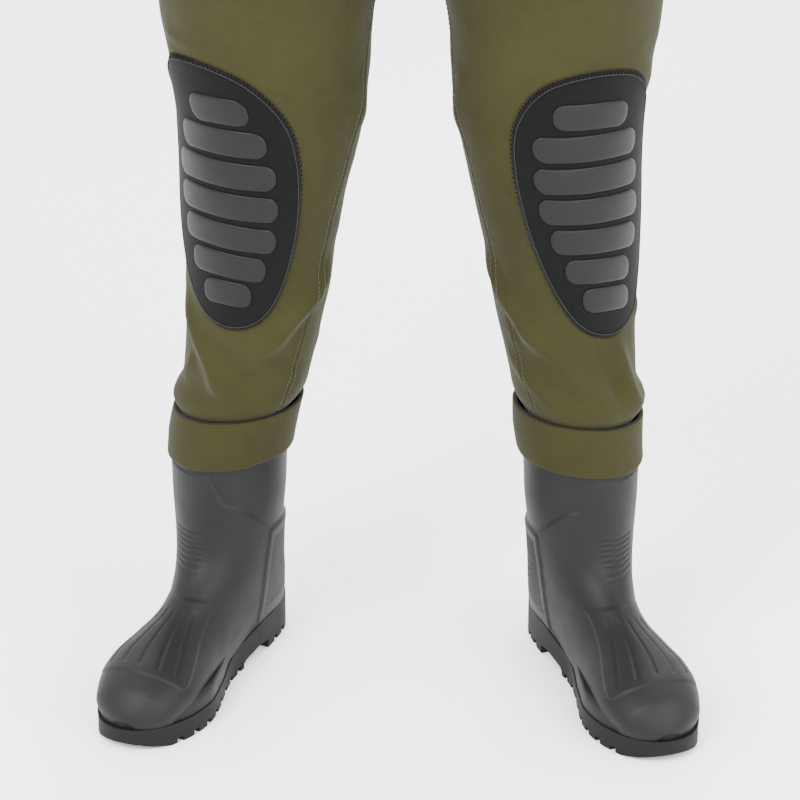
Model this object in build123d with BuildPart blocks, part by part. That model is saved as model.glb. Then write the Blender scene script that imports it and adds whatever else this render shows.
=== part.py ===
"""Chest waders: a neoprene bib-and-leg suit with knee pads, turned cuffs and moulded boots.

The suit stands as if worn, facing -Y, with +Z up and the wearer's left on +X.
The origin is on the floor, midway between the boots.  All sizes are in millimetres.
"""
import os
from math import atan2, copysign, cos, degrees, hypot, pi, radians, sin, sqrt, tan

from build123d import *

# ---------------------------------------------------------------- driving dimensions
BODY_Y = 27.7            # where the ankles and hips stand, front to back
NEOPRENE = 4.5           # thickness of the suit's foam sheet
GAP = 0.35               # gap left between layers laid on each other
CREASE = 810.0           # height of the crotch
KNEE_Z = 510.0           # height of the knee's bending axis
KNEE_X = 131.0           # how far the knee's axis point stands from the middle
KNEE_HALF = 90.0         # half the height of the stretch that bends
SEAM_TURN = 15.0         # how far the side seams are turned outward, degrees
PAD_TURN = 32.0          # how far the knee pads face outward, degrees
SHIN_END = 226.0         # lower end of the leg, inside the boot shaft
BIB_FRONT = 1330.0       # top edge of the bib at the front
BIB_SIDE = 1192.0        # top edge under the arms
BIB_BACK = 1242.0        # top edge at the back

PAD_Z = 495.0            # middle of the knee pad
PAD_HALF = 132.0         # half its height
PAD_THICK = 3.0
BAR_COUNT = 7
BAR_PITCH = 31.0
BAR_TALL = 25.5
BAR_THICK = 2.4
BAR_WIDTHS = [66.0, 96.0, 108.0, 109.0, 102.0, 82.0, 60.0]

BOOT_X = 171.0           # middle of the ankle, from the middle plane
BOOT_TURN = 22.0         # how far each foot points outward, degrees
BOOT_TOP = 258.0         # rim of the boot shaft
BOOT_WALL = 3.2          # thickness of the moulded boot
SOLE_HEEL = 36.0         # height of the outsole's top at the heel
SOLE_TOE = 21.0          # height of the outsole's top at the toe
INSOLE = 4.0
LUG_DEPTH = 5.0
CUFF_WALL = 4.2
CUFF_LOW = 222.0         # lower edge of the turned cuff
CUFF_HIGH = 270.0        # upper edge of the turned cuff
CUFF_TILT = 5.0          # the cuff sits lower on its outer side, degrees

WEBBING = 38.0           # width of the braces and belt
STRAP_THICK = 2.4
STRAP_X = 112.0          # brace position at the bib's front edge
STRAP_Y = BODY_Y - 115.0
STRAP_BACK_X = 37.0      # brace position at the back
STRAP_BACK_Y = BODY_Y + 144.2
STRAP_TOP = 1510.0
STRAP_TWIST_Z = 1300.0   # below this the brace twists to lie on the back
STRAP_END_Z = 1190.0
SLIDER_Z = 1370.0
BUCKLE_Z = 1361.0        # middle of the bib buckles

BELT_Z = 1080.0
BELT_INNER = 1.0
BELT_OUTER = 3.2
BELT_BUCKLE_X = -8.0
BELT_BUCKLE_Y = BODY_Y - 134.8

POCKET_HALF = 68.0       # half width of the chest pocket
POCKET_LOW = 1150.0
POCKET_HIGH = 1288.0
POCKET_DEEP = 16.0
FLAP_LOW = 1236.0
FLAP_HIGH = 1295.5
FLAP_HINGE_Y = BODY_Y - 132.4

RING_X = 112.0           # where the D-ring hangs
RING_Z = 1196.0
RING_TURN = 23.0         # direction the chest faces there, degrees
RING_WIRE = 4.0
FAR = 600.0              # longer than any sub-part, for cutting tools

# height, middle x, middle y from BODY_Y, half width, half depth of one leg, then of the torso
STATIONS = [
    (SHIN_END, 167.9, -1.0, 47.2, 50.4),
    (235.0, 167.8, -1.0, 47.2, 50.4),
    (244.0, 167.5, -0.8, 47.5, 50.7),
    (258.0, 166.2, 0.2, 48.8, 52.2),
    (271.0, 162.6, 2.0, 53.2, 57.4),
    (285.0, 158.6, 3.6, 57.2, 62.6),
    (312.0, 153.5, 4.0, 60.5, 67.0),
    (370.0, 145.5, 2.0, 65.5, 73.0),
    (430.0, 140.0, -2.0, 70.5, 77.0),
    (490.0, 134.0, -6.0, 76.0, 81.0),
    (530.0, 129.5, -7.0, 80.5, 84.0),
    (570.0, 126.5, -5.0, 85.5, 89.0),
    (612.0, 128.0, -2.0, 91.5, 95.0),
    (665.0, 130.0, 0.0, 97.5, 102.0),
    (740.0, 124.0, 2.0, 107.0, 110.0),
    (CREASE, 115.5, 4.0, 114.7, 119.0),
    (870.0, 86.0, 5.0, 145.0, 131.0),
    (935.0, 42.0, 5.0, 185.0, 139.0),
    (1000.0, 0.0, 5.0, 221.0, 141.0),
    (1040.0, 0.0, 5.0, 211.5, 135.4),
    (1080.0, 0.0, 5.0, 204.0, 131.0),
    (1125.0, 0.0, 5.0, 204.6, 132.2),
    (1170.0, 0.0, 5.0, 206.0, 134.0),
    (1215.0, 0.0, 5.0, 207.0, 135.4),
    (1260.0, 0.0, 5.0, 207.0, 136.0),
    (1305.0, 0.0, 5.0, 205.2, 135.0),
    (1350.0, 0.0, 5.0, 202.0, 133.0),
]
RING_POINTS = 16         # points round each cross-section

# one foot, toe toward -Y: forward and height of the section's upper point, the same of its
# lower point, half width, sideways shift, squareness of the lower half
BOOT_SECTIONS = [
    (57.5, 262.0, -57.5, 262.0, 53.5, -3.5, 1.0),
    (58.0, 241.0, -58.0, 241.0, 54.0, -3.2, 1.0),
    (58.5, 220.0, -58.5, 220.0, 54.3, -3.0, 1.0),
    (58.9, 198.0, -58.4, 197.0, 53.6, -2.8, 1.0),
    (59.0, 175.0, -58.0, 172.0, 52.5, -2.5, 1.0),
    (61.0, 146.0, -59.0, 132.0, 48.5, -1.5, 0.95),
    (67.0, 123.0, -65.0, 96.0, 45.0, -0.5, 0.9),
    (81.0, 107.0, -75.0, 58.0, 41.5, 0.0, 0.85),
    (99.0, 96.0, -74.0, 20.0, 38.5, 1.0, 0.75),
    (119.0, 88.0, -38.0, 4.0, 37.5, 3.0, 0.7),
    (141.0, 81.0, 28.0, 4.0, 41.0, 5.0, 0.65),
    (165.0, 74.0, 92.0, 4.0, 47.5, 5.0, 0.6),
    (188.0, 67.0, 143.0, 4.0, 49.0, 2.0, 0.6),
    (206.0, 58.0, 184.0, 6.0, 41.5, 0.5, 0.6),
    (214.0, 50.0, 198.0, 8.0, 35.0, 0.5, 0.6),
    (220.0, 40.0, 209.0, 10.0, 24.0, 0.0, 0.6),
]
# outsole outline: forward of the heel's rear, and toward the inner side
SOLE_OUTLINE = [
    (0, 0), (10, 24), (50, 34.5), (90, 35), (140, 33), (190, 45), (225, 51.5), (262, 45), (292, 26),
    (304, 0), (297, -25), (272, -43), (235, -53), (190, -56), (140, -48), (90, -38), (50, -36), (10, -24),
]
HEEL_REAR = -80.0


# ---------------------------------------------------------------- helpers
def ring(middle_x, middle_y, half_width, half_depth, turn=0.0):
    """Points round one oval cross-section, always from the same side."""
    angles = [2 * pi * i / RING_POINTS for i in range(RING_POINTS)]
    flat = [(half_width * cos(a), half_depth * sin(a)) for a in angles]
    c, s = cos(radians(turn)), sin(radians(turn))
    return [(middle_x + x * c - y * s, middle_y + x * s + y * c) for x, y in flat]


def closed_curve(points):
    """A smooth closed curve whose points are spread evenly along its parameter."""
    count = len(points)
    return Edge.make_spline(
        [Vector(x, y, 0) for x, y in points], periodic=True, parameters=[i / count for i in range(count + 1)]
    )


def suit_half(grow):
    """The outside of the suit's left half, moved outward by grow."""
    with BuildPart() as half:
        for height, middle_x, middle_y, half_width, half_depth in STATIONS:
            with BuildSketch(Plane.XY.offset(height)):
                with BuildLine():
                    add(closed_curve(ring(middle_x, middle_y + BODY_Y, half_width + grow, half_depth + grow)))
                make_face()
        loft()
        split(bisect_by=Plane.YZ, keep=Keep.TOP)
    return half.part


def band(low, high, outer, inner):
    """A layer lying on the suit between two heights and between two suit halves."""
    with BuildPart() as layer:
        add(outer)
        with BuildSketch(Plane.XY.offset(low)):
            Rectangle(FAR * 2, FAR * 2)
        extrude(amount=high - low, mode=Mode.INTERSECT)
        add(inner, mode=Mode.SUBTRACT)
    return layer.part


def write(part, name):
    """Labels one finished piece and writes its STEP file."""
    part.label = name
    export_step(part, f"parts/{name}.step")


def write_pair(part, name):
    """Writes the left piece and its mirror image for the right side."""
    write(part, f"left_{name}")
    write(mirror(part, about=Plane.YZ), f"right_{name}")


os.makedirs("parts", exist_ok=True)

# ---------------------------------------------------------------- the suit's shell
suit_outside = suit_half(0)
suit_inside = suit_half(-NEOPRENE)
rim_points = [
    (BODY_Y - 165, BIB_FRONT), (BODY_Y - 118, BIB_FRONT), (BODY_Y - 92, BIB_FRONT - 24),
    (BODY_Y - 58, BIB_SIDE + 36), (BODY_Y - 12, BIB_SIDE), (BODY_Y + 52, BIB_SIDE),
    (BODY_Y + 112, BIB_BACK - 8), (BODY_Y + 165, BIB_BACK),
]


def above_rim(shift):
    """Everything above the bib's top edge, with the edge moved up by shift."""
    with BuildPart() as above:
        with BuildSketch(Plane.YZ.offset(-FAR / 2)):
            with BuildLine():
                rim = Spline(*[(y, z + shift) for y, z in rim_points])
                Polyline(rim @ 1, (BODY_Y + 165, 1400), (BODY_Y - 165, 1400), rim @ 0)
            make_face()
        extrude(amount=FAR)
    return above.part


with BuildPart() as suit:
    add(suit_outside)
    add(suit_inside, mode=Mode.SUBTRACT)
    add(above_rim(0), mode=Mode.SUBTRACT)

SIDE_SEAM = Plane(
    origin=(KNEE_X, BODY_Y, 0),
    x_dir=(cos(radians(SEAM_TURN)), sin(radians(SEAM_TURN)), 0),
    z_dir=(sin(radians(SEAM_TURN)), -cos(radians(SEAM_TURN)), 0),
)
THIGH_CUT = Plane.XY.offset(KNEE_Z + KNEE_HALF)
SHIN_CUT = Plane.XY.offset(KNEE_Z - KNEE_HALF)

# ---------------------------------------------------------------- neoprene panels
for side, keep in (("front", Keep.TOP), ("back", Keep.BOTTOM)):
    with BuildPart() as half_suit:
        add(suit.part)
        split(bisect_by=SIDE_SEAM, keep=keep)
    with BuildPart() as panel:
        add(half_suit.part)
        split(bisect_by=THIGH_CUT, keep=Keep.TOP)
    with BuildPart() as shin:
        add(half_suit.part)
        split(bisect_by=SHIN_CUT, keep=Keep.BOTTOM)
    with BuildPart() as knee:
        add(half_suit.part)
        split(bisect_by=THIGH_CUT.offset(-GAP), keep=Keep.BOTTOM)
        split(bisect_by=SHIN_CUT.offset(GAP), keep=Keep.TOP)
    write_pair(panel.part, f"{side}_panel")
    write_pair(shin.part, f"shin_{side}")
    write_pair(knee.part, f"knee_{side}")

# ---------------------------------------------------------------- knee pads and their bars
pad_outline = [
    (0, 132), (38, 121), (60, 86), (69, 30), (68, -32), (55, -86), (33, -121),
    (0, -132), (-33, -121), (-55, -86), (-68, -32), (-69, 30), (-60, 86), (-38, 121),
]
PAD_FACE = Plane(
    origin=(KNEE_X, BODY_Y, 0),
    x_dir=(cos(radians(PAD_TURN)), sin(radians(PAD_TURN)), 0),
    z_dir=(sin(radians(PAD_TURN)), -cos(radians(PAD_TURN)), 0),
)
pad_back = suit_half(GAP)
pad_front = suit_half(GAP + PAD_THICK)
with BuildPart() as knee_pad:
    add(band(PAD_Z - PAD_HALF - 10, PAD_Z + PAD_HALF + 10, pad_front, pad_back))
    with BuildSketch(PAD_FACE):
        with BuildLine():
            Spline(*[(x, PAD_Z + z) for x, z in pad_outline], periodic=True)
        make_face()
    extrude(amount=FAR, mode=Mode.INTERSECT)
write_pair(knee_pad.part, "knee_pad")

bars_back = suit_half(2 * GAP + PAD_THICK)
bars_front = suit_half(2 * GAP + PAD_THICK + BAR_THICK)
with BuildPart() as knee_bars:
    add(band(PAD_Z - PAD_HALF, PAD_Z + PAD_HALF, bars_front, bars_back))
    with BuildSketch(PAD_FACE):
        for index, width in enumerate(BAR_WIDTHS):
            height = PAD_Z + BAR_PITCH * ((BAR_COUNT - 1) / 2 - index)
            with Locations((0, height)):
                RectangleRounded(width, BAR_TALL, BAR_TALL * 0.42)
    extrude(amount=FAR, mode=Mode.INTERSECT)
write_pair(knee_bars.part, "knee_bars")

# ---------------------------------------------------------------- boots
BOOT_PLACE = Location((BOOT_X, BODY_Y, 0), (0, 0, BOOT_TURN))


def boot_solid(shrink):
    """The boot's filled outside, toe toward -Y, with every section made smaller by shrink."""
    sections = BOOT_SECTIONS if shrink == 0 else BOOT_SECTIONS[:-1]
    with BuildPart() as boot:
        for top_f, top_z, low_f, low_z, half_width, shift, square in sections:
            span = hypot(top_f - low_f, top_z - low_z)
            up_y, up_z = -(top_f - low_f) / span, (top_z - low_z) / span
            middle = (shift, -(top_f + low_f) / 2, (top_z + low_z) / 2)
            plane = Plane(origin=middle, x_dir=(1, 0, 0), z_dir=(0, -up_z, up_y))
            points = []
            for i in range(RING_POINTS):
                a = 2 * pi * i / RING_POINTS
                power = square if cos(a) < -0.01 else 1.0
                across = copysign(abs(sin(a)) ** power, sin(a)) if abs(sin(a)) > 1e-6 else 0.0
                points.append(((half_width - shrink) * across, (span / 2 - shrink) * cos(a)))
            with BuildSketch(plane):
                with BuildLine():
                    add(closed_curve(points))
                make_face()
        loft()
    return boot.part


def under_sole(lift):
    """Everything below the outsole's top, with that surface raised by lift."""
    with BuildPart() as under:
        with BuildSketch(Plane.YZ.offset(-FAR / 2)):
            with BuildLine():
                Polyline(
                    (150, -50), (150, SOLE_HEEL + lift), (0, SOLE_HEEL + lift), (-95, SOLE_TOE + lift),
                    (-300, SOLE_TOE + lift), (-300, -50), close=True,
                )
            make_face()
        extrude(amount=FAR)
    return under.part


boot_inside = boot_solid(BOOT_WALL)
with BuildPart() as boot_upper:
    add(boot_solid(0))
    add(boot_inside, mode=Mode.SUBTRACT)
    add(under_sole(0), mode=Mode.SUBTRACT)
    split(bisect_by=Plane.XY.offset(BOOT_TOP), keep=Keep.BOTTOM)
write_pair(boot_upper.part.moved(BOOT_PLACE), "boot_upper")

with BuildPart() as insole:
    add(boot_solid(BOOT_WALL + 0.4))
    add(under_sole(INSOLE), mode=Mode.INTERSECT)
    add(under_sole(0), mode=Mode.SUBTRACT)
write_pair(insole.part.moved(BOOT_PLACE), "insole")

heel_notches = [-64, -46, -28]
fore_notches = [48 + 20 * i for i in range(8)]
with BuildPart() as outsole:
    with BuildSketch():
        with BuildLine():
            Spline(*[(-side, -(forward + HEEL_REAR)) for forward, side in SOLE_OUTLINE], periodic=True)
        make_face()
    extrude(amount=SOLE_HEEL + 5)
    add(under_sole(0), mode=Mode.INTERSECT)
    with BuildSketch(Plane.YZ.offset(-FAR / 2)):
        for notch in heel_notches + fore_notches:
            with Locations((-notch, LUG_DEPTH / 2 - 0.5)):
                Rectangle(7, LUG_DEPTH + 1)
        with BuildLine():
            Polyline((10, -1), (10, 9), (-8, 11), (-34, 7), (-38, 4), (-38, -1), close=True)
        make_face()
        with BuildLine():
            Polyline((-198, -1), (-198, 0), (-212, 3), (-232, 10), (-232, -1), close=True)
        make_face()
    extrude(amount=FAR, mode=Mode.SUBTRACT)
write_pair(outsole.part.moved(BOOT_PLACE), "outsole")

# ---------------------------------------------------------------- turned cuffs
tilt = radians(CUFF_TILT)
cuff_levels = [(CUFF_LOW, 167.6, -1.2, 57.2, 60.8), (CUFF_HIGH, 163.6, 0.8, 60.4, 63.2)]


def cuff_solid(grow, over):
    """The cuff's filled outline, made wider by grow and taller by over."""
    with BuildPart() as filled:
        for height, middle_x, middle_y, half_width, half_depth in cuff_levels:
            level = height + (over if height == CUFF_HIGH else -over)
            plane = Plane(
                origin=(middle_x, BODY_Y + middle_y, level),
                x_dir=(cos(tilt), 0, -sin(tilt)),
                z_dir=(sin(tilt), 0, cos(tilt)),
            )
            with BuildSketch(plane):
                with BuildLine():
                    add(closed_curve(ring(0, 0, half_width + grow, half_depth + grow, BOOT_TURN)))
                make_face()
        loft()
    return filled.part


with BuildPart() as cuff:
    add(cuff_solid(CUFF_WALL, 0))
    add(cuff_solid(0, 1), mode=Mode.SUBTRACT)
write_pair(cuff.part, "cuff")

# ---------------------------------------------------------------- side-release buckles
BUCKLE_WIDE = 46.0
BUCKLE_THICK = 11.0
BAR_HALF = 1.5           # half thickness of the bars the webbing loops round
LOOP_INNER = 2.7
LOOP_OUTER = 4.0
SOCKET_BAR = -19.3       # along the buckle, from the socket's middle
PRONG_BAR = 33.9

with BuildPart() as buckle_socket:
    with BuildSketch(Plane.XY.offset(-BUCKLE_THICK / 2)):
        with Locations((0, -1)):
            RectangleRounded(BUCKLE_WIDE, 40, 5)
    extrude(amount=BUCKLE_THICK)
    chamfer(buckle_socket.edges().group_by(Axis.Z)[0] + buckle_socket.edges().group_by(Axis.Z)[-1], 1.4)
    with Locations((0, -17.5, 0)):
        Box(40, 12, 20, mode=Mode.SUBTRACT)
    with Locations((0, 15, 0)):
        Box(39, 50, 7, align=(Align.CENTER, Align.CENTER, Align.CENTER), mode=Mode.SUBTRACT)
    with Locations((0, 1.5, 0)):
        Box(60, 13, 7, mode=Mode.SUBTRACT)
    with Locations((0, SOCKET_BAR, 0)):
        Box(42, 2 * BAR_HALF, 2 * BAR_HALF)

with BuildPart() as buckle_prong:
    with BuildSketch(Plane.XY.offset(-4.5)):
        with Locations((0, 28.3)):
            RectangleRounded(44, 17.4, 4)
    extrude(amount=9)
    chamfer(buckle_prong.edges().group_by(Axis.Z)[0] + buckle_prong.edges().group_by(Axis.Z)[-1], 1.2)
    with Locations((0, 32.5, 0)):
        Box(40, 13, 20, mode=Mode.SUBTRACT)
    with Locations((0, PRONG_BAR, 0)):
        Box(42, 2 * BAR_HALF, 2 * BAR_HALF)
    with BuildSketch(Plane.XY.offset(-2.6)):
        with Locations((0, 7.5)):
            Rectangle(5, 27)
        for hand in (1, -1):
            with BuildLine():
                Polyline(
                    (hand * 11, 21), (hand * 11, -3), (hand * 14, -5), (hand * 18.8, 2),
                    (hand * 18.8, 5), (hand * 15.5, 8.5), (hand * 15.5, 21), close=True,
                )
            make_face()
    extrude(amount=5.2)

STRAP_TURN = degrees(atan2(STRAP_X - STRAP_BACK_X, STRAP_BACK_Y - STRAP_Y))
STRAP_RUN = hypot(STRAP_X - STRAP_BACK_X, STRAP_BACK_Y - STRAP_Y)
turn = radians(STRAP_TURN)
strap_face = Plane(origin=(STRAP_X, STRAP_Y, 0), x_dir=(cos(turn), sin(turn), 0), z_dir=(sin(turn), -cos(turn), 0))
strap_side = Plane(origin=(STRAP_X, STRAP_Y, 0), x_dir=(-sin(turn), cos(turn), 0), z_dir=(cos(turn), sin(turn), 0))
bib_buckle = Location(strap_face.offset(0).location) * Location((0, BUCKLE_Z, 0))
write_pair(buckle_socket.part.moved(bib_buckle), "buckle_socket")
write_pair(buckle_prong.part.moved(bib_buckle), "buckle_prong")

belt_plane = Plane(origin=(BELT_BUCKLE_X, BELT_BUCKLE_Y, BELT_Z), x_dir=(0, 0, -1), z_dir=(0, -1, 0))
write(buckle_socket.part.moved(belt_plane.location), "belt_buckle_socket")
write(buckle_prong.part.moved(belt_plane.location), "belt_buckle_prong")

# ---------------------------------------------------------------- braces
lead_bar_z = BUCKLE_Z + PRONG_BAR
with BuildPart() as strap_shape:
    with BuildSketch(strap_side):
        with BuildLine():
            FilletPolyline(
                (0, lead_bar_z + 3.4), (0, 1446), (42, STRAP_TOP), (STRAP_RUN, STRAP_TOP),
                (STRAP_RUN, STRAP_TWIST_Z), radius=[60, 65, 76],
            )
        trace(line_width=STRAP_THICK)
    extrude(amount=WEBBING / 2, both=True)

with BuildPart() as strap:
    add(strap_shape.part)
    with Locations((STRAP_X, STRAP_Y, 1380)):
        Box(80, 120, 200 + GAP, mode=Mode.SUBTRACT)
    for step, lie, inward in ((0, STRAP_TURN, 0.0), (1, 2.0, 0.0), (2, -5.0, 1.6), (3, -7.0, 3.0)):
        height = STRAP_TWIST_Z - step / 3 * (STRAP_TWIST_Z - STRAP_END_Z)
        with BuildSketch(Plane(
            origin=(STRAP_BACK_X, STRAP_BACK_Y - inward, height), x_dir=(cos(radians(lie)), sin(radians(lie)), 0)
        )):
            Rectangle(WEBBING, STRAP_THICK)
    loft()
write_pair(strap.part, "strap")

with BuildPart() as strap_lead:
    add(strap_shape.part)
    with Locations((STRAP_X, STRAP_Y, 1380)):
        Box(80, 120, 200, mode=Mode.INTERSECT)
    with BuildSketch(strap_side):
        with Locations((0, lead_bar_z)):
            Circle(LOOP_OUTER)
            Circle(LOOP_INNER, mode=Mode.SUBTRACT)
    extrude(amount=WEBBING / 2, both=True)
write_pair(strap_lead.part, "strap_lead")

with BuildPart() as strap_anchor:
    anchor_bar_z = BUCKLE_Z + SOCKET_BAR
    with BuildSketch(strap_side):
        with Locations((0, anchor_bar_z)):
            Circle(LOOP_OUTER)
            Circle(LOOP_INNER, mode=Mode.SUBTRACT)
        with Locations((0, (1256 + anchor_bar_z - 3.3) / 2)):
            Rectangle(2.6, anchor_bar_z - 3.3 - 1256)
    extrude(amount=WEBBING / 2, both=True)
write_pair(strap_anchor.part, "strap_anchor")

with BuildPart() as strap_slider:
    with BuildSketch(Plane.XY.offset(-3.6)):
        RectangleRounded(47, 32, 5)
    extrude(amount=7.2)
    chamfer(strap_slider.edges().group_by(Axis.Z)[0] + strap_slider.edges().group_by(Axis.Z)[-1], 0.9)
    Box(39.4, 40, 20, mode=Mode.SUBTRACT)
    with Locations((0, 13, -2.6), (0, -13, -2.6), (0, 0, 2.6)):
        Box(42, 5, 2)
slider_plane = Plane(
    origin=(STRAP_BACK_X, STRAP_BACK_Y, SLIDER_Z), x_dir=(cos(turn), sin(turn), 0), z_dir=(-sin(turn), cos(turn), 0)
)
write_pair(strap_slider.part.moved(slider_plane.location), "strap_slider")

# ---------------------------------------------------------------- top binding and back patch
binding_back = suit_half(-NEOPRENE - 2.0)
binding_front = suit_half(2.0)
core_back = suit_half(-NEOPRENE - GAP)
with BuildPart() as binding_half:
    add(band(1170, 1345, binding_front, binding_back))
    add(above_rim(2.4), mode=Mode.SUBTRACT)
    add(above_rim(-12), mode=Mode.INTERSECT)
with BuildPart() as covered_edge:
    add(band(1160, 1346, pad_back, core_back))
    add(above_rim(GAP), mode=Mode.SUBTRACT)
with BuildPart() as top_binding:
    add(binding_half.part)
    add(covered_edge.part, mode=Mode.SUBTRACT)
    mirror(about=Plane.YZ)
write(top_binding.part, "top_binding")

with BuildPart() as back_yoke:
    add(band(1178, 1227, binding_front, pad_back))
    with BuildSketch(Plane.XZ.offset(-BODY_Y)):
        with BuildLine():
            Polyline((0, 1178), (58, 1178), (74, 1192), (74, 1227), (0, 1227), close=True)
        make_face()
    extrude(amount=-FAR, mode=Mode.INTERSECT)
    mirror(about=Plane.YZ)
write(back_yoke.part, "back_yoke")

# ---------------------------------------------------------------- belt
belt_low, belt_high = BELT_Z - WEBBING / 2, BELT_Z + WEBBING / 2
belt_band = band(belt_low, belt_high, suit_half(BELT_OUTER), suit_half(BELT_INNER))
belt_middle = (BELT_INNER + BELT_OUTER) / 2
BELT_LIFT = 1.5          # how far the belt's ends stand off the body


def belt_y(x):
    """Front-to-back place of the belt's middle line, at the front, for a given x."""
    return BODY_Y + 5 - (131 + belt_middle) * sqrt(1 - (x / (204 + belt_middle)) ** 2)


def belt_end(bar_x, hand):
    """A belt end that leaves the body, loops round a buckle bar and is sewn back on itself."""
    with BuildPart() as end:
        with BuildSketch(Plane.XY.offset(belt_low)):
            with BuildLine():
                Polyline(
                    (bar_x + hand * 3.4, BELT_BUCKLE_Y), (hand * 48, belt_y(48) - BELT_LIFT),
                    (hand * 56, belt_y(56) - BELT_LIFT),
                )
            trace(line_width=BELT_OUTER - BELT_INNER)
            with Locations((bar_x, BELT_BUCKLE_Y)):
                Circle(LOOP_OUTER)
                Circle(LOOP_INNER, mode=Mode.SUBTRACT)
        extrude(amount=WEBBING)
    return end.part


TAIL_X = 95.0
with BuildPart() as belt_webbing:
    add(belt_band)
    with Locations(((TAIL_X + GAP) / 2 - 5, BODY_Y - 150, BELT_Z)):
        Box(TAIL_X + GAP + 10, 300, 60, mode=Mode.SUBTRACT)
with BuildPart() as belt_right:
    add(mirror(belt_band, about=Plane.YZ))
    with Locations((-26, BODY_Y - 150, BELT_Z)):
        Box(52, 300, 60, mode=Mode.SUBTRACT)
with BuildPart() as belt_main:
    add(belt_webbing.part)
    add(belt_right.part)
    add(belt_end(BELT_BUCKLE_X + SOCKET_BAR, -1))
write(belt_main.part, "belt_webbing")

with BuildPart() as belt_tail:
    add(belt_band)
    with Locations(((TAIL_X + 52) / 2, BODY_Y - 150, BELT_Z)):
        Box(TAIL_X - 52, 300, 60, mode=Mode.INTERSECT)
    add(belt_end(BELT_BUCKLE_X + PRONG_BAR, 1))
write(belt_tail.part, "belt_tail")

with BuildPart() as loop_prisms:
    with Locations((125, BODY_Y - 150, BELT_Z), (101, BODY_Y + 150, BELT_Z)):
        Box(22, 300, 80)
with BuildPart() as belt_tunnel:
    add(band(belt_low - 3, belt_high + 3, suit_half(3.7), suit_half(0)))
with BuildPart() as belt_loops:
    add(band(BELT_Z - 34, BELT_Z + 34, suit_half(5.4), pad_back))
    add(loop_prisms.part, mode=Mode.INTERSECT)
    add(belt_tunnel.part, mode=Mode.SUBTRACT)
    mirror(about=Plane.YZ)
write(belt_loops.part, "belt_loops")

# ---------------------------------------------------------------- chest pocket
pocket_face = suit_half(POCKET_DEEP)
with BuildPart() as pocket_room:
    add(band(POCKET_LOW + 3, 1340, suit_half(POCKET_DEEP - 1.8), binding_front))
    with Locations((0, BODY_Y - 150, (POCKET_LOW + 1340) / 2)):
        Box(2 * POCKET_HALF - 5, 300, 220, mode=Mode.INTERSECT)
with BuildPart() as pocket_prism:
    with BuildSketch(Plane.XZ.offset(-BODY_Y)):
        with Locations((0, (POCKET_LOW + 1330) / 2)):
            RectangleRounded(2 * POCKET_HALF, 1330 - POCKET_LOW, 14)
    extrude(amount=FAR)
with BuildPart() as chest_pocket:
    add(band(POCKET_LOW, POCKET_HIGH, pocket_face, pad_back))
    add(pocket_prism.part, mode=Mode.INTERSECT)
    add(pocket_room.part, mode=Mode.SUBTRACT)
    mirror(about=Plane.YZ)
write(chest_pocket.part, "chest_pocket")

loop_outer = suit_half(POCKET_DEEP + GAP + 1.0)
loop_inner = suit_half(POCKET_DEEP + GAP)
with BuildPart() as pocket_loop_patch:
    add(band(1242, 1264, loop_outer, loop_inner))
    with Locations((0, BODY_Y - 150, 1253)):
        Box(84, 300, 60, mode=Mode.INTERSECT)
    mirror(about=Plane.YZ)
write(pocket_loop_patch.part, "pocket_loop_patch")

with BuildPart() as flap_hook_patch:
    add(band(1242, 1264, suit_half(POCKET_DEEP + 2 * GAP + 2.0), suit_half(POCKET_DEEP + 2 * GAP + 1.0)))
    with Locations((0, BODY_Y - 150, 1253)):
        Box(84, 300, 60, mode=Mode.INTERSECT)
    mirror(about=Plane.YZ)
write(flap_hook_patch.part, "flap_hook_patch")

flap_outer = suit_half(POCKET_DEEP + 3 * GAP + 3.6)
flap_inner = suit_half(POCKET_DEEP + 3 * GAP + 2.0)
with BuildPart() as flap_prism:
    with BuildSketch(Plane.XZ.offset(-FLAP_HINGE_Y)):
        with BuildLine():
            Polyline(
                (0, FLAP_LOW), (POCKET_HALF - 14, FLAP_LOW), (POCKET_HALF + 1.5, FLAP_LOW + 16),
                (POCKET_HALF + 1.5, FLAP_HIGH), (0, FLAP_HIGH), close=True,
            )
        make_face()
    extrude(amount=FAR)
with BuildPart() as pocket_flap:
    add(band(FLAP_LOW - 5, FLAP_HIGH, flap_outer, pad_back))
    add(flap_prism.part, mode=Mode.INTERSECT)
    add(band(FLAP_LOW - 10, FLAP_HIGH - 2.4, flap_inner, suit_half(-20)), mode=Mode.SUBTRACT)
    mirror(about=Plane.YZ)
write(pocket_flap.part, "pocket_flap")

with BuildPart() as flap_hinge_strip:
    add(band(FLAP_HIGH - 2.4, FLAP_HIGH + 6, suit_half(POCKET_DEEP), pad_back))
    with Locations((0, FLAP_HINGE_Y + 0.4 + 100, FLAP_HIGH)):
        Box(2 * POCKET_HALF + 3, 200, 40, mode=Mode.INTERSECT)
    mirror(about=Plane.YZ)
write(flap_hinge_strip.part, "flap_hinge_strip")

# ---------------------------------------------------------------- D-ring and its tab
facing = radians(RING_TURN)
out_x, out_y = sin(facing), -cos(facing)
ring_foot_x, ring_foot_y = RING_X, BODY_Y + 5 - 134.5 * sqrt(1 - (RING_X / 206.3) ** 2)
ring_plane = Plane(
    origin=(ring_foot_x + 5.0 * out_x, ring_foot_y + 5.0 * out_y, RING_Z),
    x_dir=(cos(facing), sin(facing), 0), z_dir=(out_x, out_y, 0),
)
with BuildPart() as d_ring:
    with BuildLine() as ring_line:
        Line((0, 0), (14, 0))
        RadiusArc((14, 0), (19, -5), 5)
        Line((19, -5), (19, -12))
        RadiusArc((19, -12), (-19, -12), 19)
        Line((-19, -12), (-19, -5))
        RadiusArc((-19, -5), (-14, 0), 5)
        Line((-14, 0), (0, 0))
    with BuildSketch(Plane.YZ):
        Circle(RING_WIRE / 2)
    sweep(path=ring_line.wires()[0])
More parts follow.
